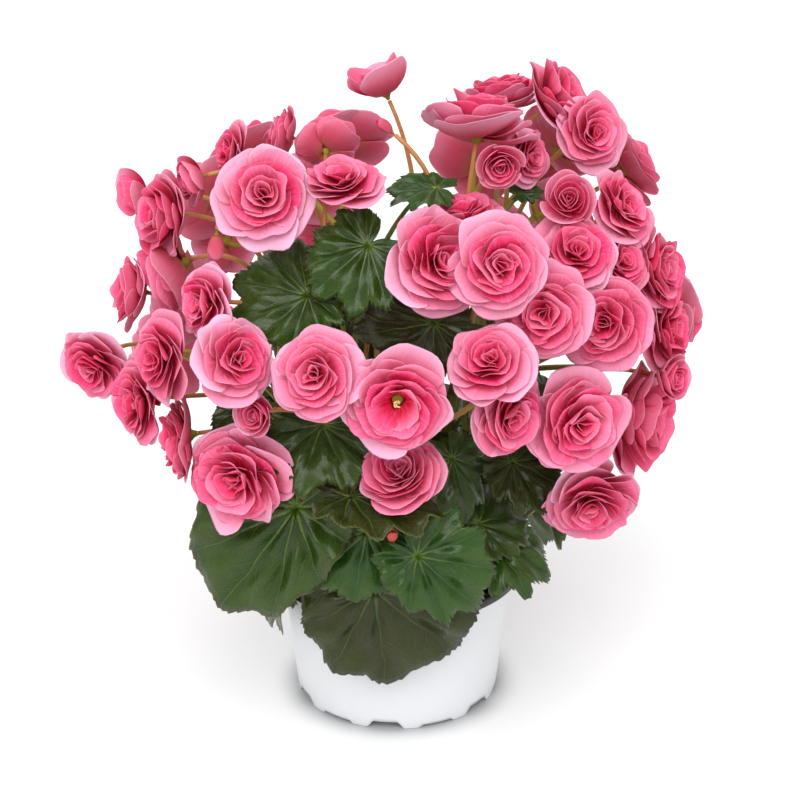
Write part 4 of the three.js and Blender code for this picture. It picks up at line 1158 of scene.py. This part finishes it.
def build_stems(stem_finish, leaf_finish):
    """Grows each leafy stem with its stalks, and its leaves as a piece of their own."""
    stems = load_stems()
    for index, (name, turn, side, kind, _, _) in enumerate(FLOWERS):
        up = facing(turn, side)
        place, radius = flower_place(node_points(name), up, kind)
        end = place - up * (CALYX * radius + GAP)
        stem, corners = join_stalk(stems, fork_share(index), end, up, STALK_RADIUS)
        stem["stalks"].append((corners, *FLOWER_STALK))
    for index, spray in enumerate(load_sprays()):
        foot = spray["fork"] - spray["out"] * GAP
        stem, corners = join_stalk(stems, fork_share(index), foot, spray["out"], STALK_RADIUS * 1.5)
        stem["stalks"].append((corners, *SPRAY_LIMB))
    for shape, seed, joint, out, tip, line, tones in leaf_rows():
        basis = frame_of(out, tip)
        stem, place = fit_leaf(stems, shape, seed, joint, basis, line)
        fork = min(max((place[2] - SOIL_LEVEL) / LEAF_REACH, LOWEST_FORK), HIGHEST_FORK)
        arrival = unit(0.75 * out + 0.65 * tip)
        corners, _ = fit_stalk(stem["points"], stem["at"](fork), place, arrival, PETIOLE_RADIUS)
        stem["stalks"].append((corners, *LEAF_STALK))
        stem["blades"].append((shape, seed, basis, place, tones))
    for stem in stems:
        build_stem(stem, stem_finish, leaf_finish)


def add_small_bud(surface, stem):
    """Adds the small coral bud that shows between two low leaves, on its own short stalk."""
    place = on_plane(*SMALL_BUD)
    up = facing(50, 95)
    start = stem["at"](0.4)
    add_stalk(surface, stalk_corners(start, place, up, np.zeros(3), 0.4), *BUD_STALK)
    add_flower(surface, "bud", SMALL_BUD_RADIUS, place, up, BUD_SEED, BUD_PALE, stage=BUD_CORAL)


def build_stem(stem, stem_finish, leaf_finish):
    """Makes one stem's two pieces: the stem with its stalks, and its blades."""
    surface = Surface("stage")
    t = np.linspace(0, 1, 40)
    path = np.array([stem["at"](s) for s in t])
    nodes = 1 + 0.1 * np.sin(t * 38) ** 6
    add_tube(surface, path, (STEM_RADIUS - 1.2 * t) * nodes, 20, stage=0.35 * t)
    for stalk in stem["stalks"]:
        add_stalk(surface, *stalk)
    if stem["name"] == SMALL_BUD_STEM:
        add_small_bud(surface, stem)
    stalks = surface.piece(stem["name"] + "_stalks", stem_finish)
    leaves = Surface("lx", "ly", "rim", "warm", "cool", "pale", "face")
    for shape, seed, basis, place, (warm, cool, pale) in stem["blades"]:
        add_blade(leaves, shape, seed, basis, place, warm=warm, cool=cool, pale=pale)
    blades = leaves.piece(stem["name"] + "_blades", leaf_finish)
    for made in (stalks, blades):
        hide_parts(stem["name"])


def flower_surface():
    """An empty surface for petals."""
    return Surface("along", "across", "ring", "tone", "pale", "face")


def build_flowers(finish):
    """Grows each of the flowers seen from the front at its solid's place and size."""
    for index, (name, turn, side, kind, look, pale) in enumerate(FLOWERS):
        up = facing(turn, side)
        place, radius = flower_place(node_points(name), up, kind)
        surface = flower_surface()
        add_flower(surface, look, radius, place, up, index + 1, pale)
        flower = surface.piece(name + "_petals", finish)
        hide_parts(name)


def load_sprays():
    """Each back spray's flowers, the point where its stalks part, and its outward direction.

    A flower's place is its start plus an even number of millimetres outwards, as its solid's crown tells."""
    sprays = []
    for index, pixels in enumerate(SPRAY_PIXELS):
        name = f"spray_back_{index + 1}"
        points = node_points(name)
        flowers = []
        for k, pixel in enumerate(pixels):
            start = behind_dome(*pixel)
            up = unit((start - DOME_CENTRE) / DOME_RADII**2)
            radius = SPRAY_RADIUS * (1 - SPRAY_SHRINK * k)
            crown = start + up * ((TOP_ROOT["rear"] + CROWN) * radius + PETAL / 2)
            steps = crown + up * (SETTLE_STEP * np.arange(SETTLE_MOST))[:, None]
            gaps = np.linalg.norm(points[:, None] - steps[None], axis=2).min(axis=0)
            place = start + up * SETTLE_STEP * int(np.argmin(gaps))
            flowers.append((place, up, radius))
        middle = np.mean([place - up * CALYX * radius for place, up, radius in flowers], axis=0)
        out = unit((middle - DOME_CENTRE) / DOME_RADII**2)
        out[2] = SPRAY_FORK
        out = unit(out)
        sprays.append({"name": name, "flowers": flowers, "fork": middle - out * SPRAY_STALK, "out": out})
    return sprays


def build_sprays(finish):
    """Grows the sprays of three flowers on the far side, each with its own parting stalks."""
    for index, spray in enumerate(load_sprays()):
        surface = flower_surface()
        points = node_points(spray["name"])
        start = spray["fork"] + spray["out"] * 2
        base = spray["fork"] + spray["out"] * np.linspace(0, 4, 4)[:, None]
        add_tube(surface, base, 1.9, 10, ring=-1.0, face=1.0)
        for k, (place, up, radius) in enumerate(spray["flowers"]):
            end = place - up * (CALYX * radius - 2)
            corners, _ = fit_stalk(points, start, end, up, STALK_RADIUS)
            t = np.linspace(0, 1, 22)
            add_tube(surface, bezier(corners, t), 1.6 - 0.5 * t, 10, ring=-1.0, face=1.0)
            add_flower(surface, "rear", radius, place, up, SPRAY_SEED + 3 * index + k, SPRAY_PALE)
        made = surface.piece(spray["name"] + "_petals", finish)
        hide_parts(spray["name"])


# ---------------------------------------------------------------- studio
KEY_SPREAD, FILL_SPREAD, BACK_SPREAD = 50.0, 70.0, 50.0
KEY_WAY, FILL_WAY, BACK_WAY = (-0.2, -0.85, 1.0), (0.6, -0.5, 1.0), (-0.3, 0.9, 0.9)  # where they shine from
SENSOR = 36  # the camera's width of film in millimetres


def sun_light(name, strength, spread, way):
    """A soft even light from a direction, as wide as spread in degrees."""
    data = bpy.data.lights.new(name, "SUN")
    data.energy, data.angle = strength, math.radians(spread)
    lamp = bpy.data.objects.new(name, data)
    lamp.rotation_euler = Vector(way).to_track_quat("Z", "Y").to_euler()
    bpy.context.scene.collection.objects.link(lamp)


def room_world(settings):
    """A pale room, brighter round the horizon than overhead."""
    p = Paint(bpy.data.worlds.new("pale_room"))
    height = p.node("ShaderNodeSeparateXYZ", [p.node("ShaderNodeTexCoord", out="Generated")], out="Z")
    overhead = settings.room_light - settings.horizon_light
    strength = settings.horizon_light + height.band(0.1, 0.6) * overhead
    shade = p.node("ShaderNodeBackground", {"Color": (*settings.room_white[:3], 1.0), "Strength": strength})
    return p.end("ShaderNodeOutputWorld", shade)


def build_stage(settings):
    """The floor, the pale world, three soft lights and the camera at the photograph's angle."""
    scene = bpy.context.scene
    scene.view_settings.view_transform = "Standard"
    scene.view_settings.look = "None"
    half = settings.floor_size / 2
    mesh = bpy.data.meshes.new("floor")
    corners = [(-half, -half, 0), (half, -half, 0), (half, half, 0), (-half, half, 0)]
    mesh.from_pydata(corners, [], [(0, 1, 2, 3)])
    mesh.materials.append(floor_material("studio_white", settings))
    floor = bpy.data.objects.new("floor", mesh)
    scene.collection.objects.link(floor)
    scene.world = room_world(settings)
    sun_light("key", settings.key_strength, KEY_SPREAD, KEY_WAY)
    sun_light("fill", settings.fill_strength, FILL_SPREAD, FILL_WAY)
    sun_light("back", settings.back_strength, BACK_SPREAD, BACK_WAY)
    lens = bpy.data.cameras.new("camera")
    lens.sensor_width = SENSOR
    lens.lens = SENSOR * FOCAL_PIXELS / PICTURE
    camera = bpy.data.objects.new("camera", lens)
    camera.location = EYE * MM
    camera.rotation_euler = (math.pi / 2 - PITCH, 0, 0)
    scene.collection.objects.link(camera)
    scene.camera = camera


# ---------------------------------------------------------------- settings, operators and panel
def colour_setting(name, description, value):
    """A colour that the panel shows as a swatch."""
    return bpy.props.FloatVectorProperty(
        name=name, description=description, subtype="COLOR", size=3, min=0, max=1, default=value
    )


def number_setting(name, description, value, **more):
    """A number that the panel shows as a field."""
    return bpy.props.FloatProperty(name=name, description=description, default=value, min=0, **more)


class BegoniaSettings(bpy.types.PropertyGroup):
    """Colours and lights of the potted begonia."""

    petal_middle: colour_setting("Petal", "The petals' main pink", linear(250, 42, 120))
    # crimson of the petals' roots and random patches, also painted shade in the flower's recesses
    petal_deep_and_shade: colour_setting("Petal depths", "Crimson between the petals", linear(212, 0, 56))
    petal_light: colour_setting("Outer petal", "Pale pink of the outer petals", linear(255, 204, 234))
    petal_rim: colour_setting("Petal rim", "Thin light rim", linear(255, 206, 224))
    petal_back: colour_setting("Petal back", "Dusky coral behind", linear(206, 88, 108))
    calyx_green: colour_setting("Calyx", "Yellow green base", linear(150, 146, 52))
    style_cream: colour_setting("Styles", "Cream yellow curls", linear(240, 226, 150))
    leaf_green: colour_setting("Leaf", "Main green", linear(40, 66, 4))
    petal_glow: colour_setting(
        "Light through petals", "Colour of light that shines through a petal", linear(252, 104, 162)
    )
    leaf_glow: colour_setting(
        "Light through leaves", "Colour of light that shines through a leaf", linear(62, 96, 18)
    )
    # green of the painted highlight on the leaves' raised panels
    leaf_panel_highlight: colour_setting("Leaf light", "Lighter green between the veins", linear(74, 104, 16))
    # dark green of random patches, and of the painted shade towards each leaf's joint
    leaf_dark_and_shade: colour_setting("Leaf shade", "Dark green between veins", linear(14, 26, 1))
    leaf_purple: colour_setting("Warm leaf", "Brownish dark leaves", linear(40, 31, 8))
    leaf_blue: colour_setting("Cool leaf", "Bluish fresh leaves", linear(30, 76, 24))
    leaf_vein: colour_setting("Vein", "Light green veins", linear(96, 128, 40))
    leaf_rim: colour_setting("Leaf rim", "Yellowish red cut edge", linear(150, 140, 80))
    leaf_under: colour_setting("Leaf underside", "Pale underside", linear(120, 140, 84))
    bud_coral: colour_setting("Bud", "Coral of the small bud among the leaves", linear(222, 84, 78))
    stem_green: colour_setting("Stem", "Green of the stems", linear(118, 130, 54))
    stem_red: colour_setting("Stalk", "Reddish orange of the flower stalks", linear(206, 134, 80))
    pot_white: colour_setting("Pot", "White plastic", linear(222, 224, 227))
    pot_shade: colour_setting("Pot shade", "Faint grey of the plastic", linear(204, 206, 210))
    pot_black: colour_setting("Pot rim", "Black plastic", linear(20, 20, 21))
    soil_dark: colour_setting("Peat", "Dark peat", linear(30, 22, 16))
    soil_brown: colour_setting("Peat crumbs", "Brown crumbs", linear(74, 52, 36))
    soil_fibre: colour_setting("Peat fibres", "Light fibres", linear(140, 112, 80))
    # grey of the painted contact shadow on the floor round the pot's foot
    floor_shade: colour_setting(
        "Floor at the foot", "Grey of the floor close to the pot", linear(150, 151, 153)
    )
    floor_white: colour_setting("Floor", "White of the floor", linear(240, 240, 240))
    room_white: colour_setting("Room", "White of the room", linear(255, 255, 255))
    floor_size: number_setting("Floor", "Side of the floor", 14.0, unit="LENGTH")
    room_light: number_setting("Room light", "Strength of the pale room overhead", 0.65)
    horizon_light: number_setting("Horizon light", "Strength of the pale room round the horizon", 0.85)
    key_strength: number_setting("Key light", "Strength of the light at the front left", 2.15)
    fill_strength: number_setting("Fill light", "Strength of the light at the right", 0.5)
    back_strength: number_setting("Back light", "Strength of the light behind", 0.8)


class BEGONIA_OT_pot(bpy.types.Operator):
    """Turn the white pot with its black rim and notched foot."""

    bl_idname = "begonia.pot"
    bl_label = "Pot"

    def execute(self, context):
        build_pot(pot_material("pot_plastic", context.scene.begonia))
        return {"FINISHED"}


class BEGONIA_OT_soil(bpy.types.Operator):
    """Fill the pot with peat."""

    bl_idname = "begonia.soil"
    bl_label = "Soil"

    def execute(self, context):
        build_soil(soil_material("peat", context.scene.begonia))
        return {"FINISHED"}


class BEGONIA_OT_stems(bpy.types.Operator):
    """Grow the leafy stems with their stalks and leaves."""

    bl_idname = "begonia.stems"
    bl_label = "Stems and leaves"

    def execute(self, context):
        colours = context.scene.begonia
        build_stems(stem_material("stem", colours), leaf_material("leaf", colours))
        return {"FINISHED"}


class BEGONIA_OT_flowers(bpy.types.Operator):
    """Grow the double flowers seen from the front and the sides."""

    bl_idname = "begonia.flowers"
    bl_label = "Flowers"

    def execute(self, context):
        build_flowers(petal_material("petal", context.scene.begonia))
        return {"FINISHED"}


class BEGONIA_OT_sprays(bpy.types.Operator):
    """Grow the sprays of flowers on the far side."""

    bl_idname = "begonia.sprays"
    bl_label = "Back sprays"

    def execute(self, context):
        build_sprays(petal_material("petal_far", context.scene.begonia))
        return {"FINISHED"}


class BEGONIA_OT_stage(bpy.types.Operator):
    """Set up the pale studio, its lights and the camera."""

    bl_idname = "begonia.stage"
    bl_label = "Studio"

    def execute(self, context):
        build_stage(context.scene.begonia)
        return {"FINISHED"}


OPERATORS = (
    BEGONIA_OT_pot,
    BEGONIA_OT_soil,
    BEGONIA_OT_stems,
    BEGONIA_OT_flowers,
    BEGONIA_OT_sprays,
    BEGONIA_OT_stage,
)


class BEGONIA_PT_panel(bpy.types.Panel):
    """The begonia's steps and settings in the sidebar."""

    bl_idname = "BEGONIA_PT_panel"
    bl_label = "Potted begonia"
    bl_space_type = "VIEW_3D"
    bl_region_type = "UI"
    bl_category = "Begonia"

    def draw(self, context):
        for operator in OPERATORS:
            self.layout.operator(operator.bl_idname)
        for name in BegoniaSettings.__annotations__:
            self.layout.prop(context.scene.begonia, name)


def register():
    """Registers the settings, operators and panel."""
    for made in (BegoniaSettings, *OPERATORS, BEGONIA_PT_panel):
        bpy.utils.register_class(made)
    bpy.types.Scene.begonia = bpy.props.PointerProperty(type=BegoniaSettings)


def unregister():
    """Removes the panel, operators and settings."""
    del bpy.types.Scene.begonia
    for made in (BEGONIA_PT_panel, *reversed(OPERATORS), BegoniaSettings):
        bpy.utils.unregister_class(made)


def main():
    """Runs every step in order."""
    register()
    bpy.ops.begonia.pot()
    bpy.ops.begonia.soil()
    bpy.ops.begonia.stems()
    bpy.ops.begonia.flowers()
    bpy.ops.begonia.sprays()
    bpy.ops.begonia.stage()
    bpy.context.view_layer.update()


if __name__ == "__main__":
    main()
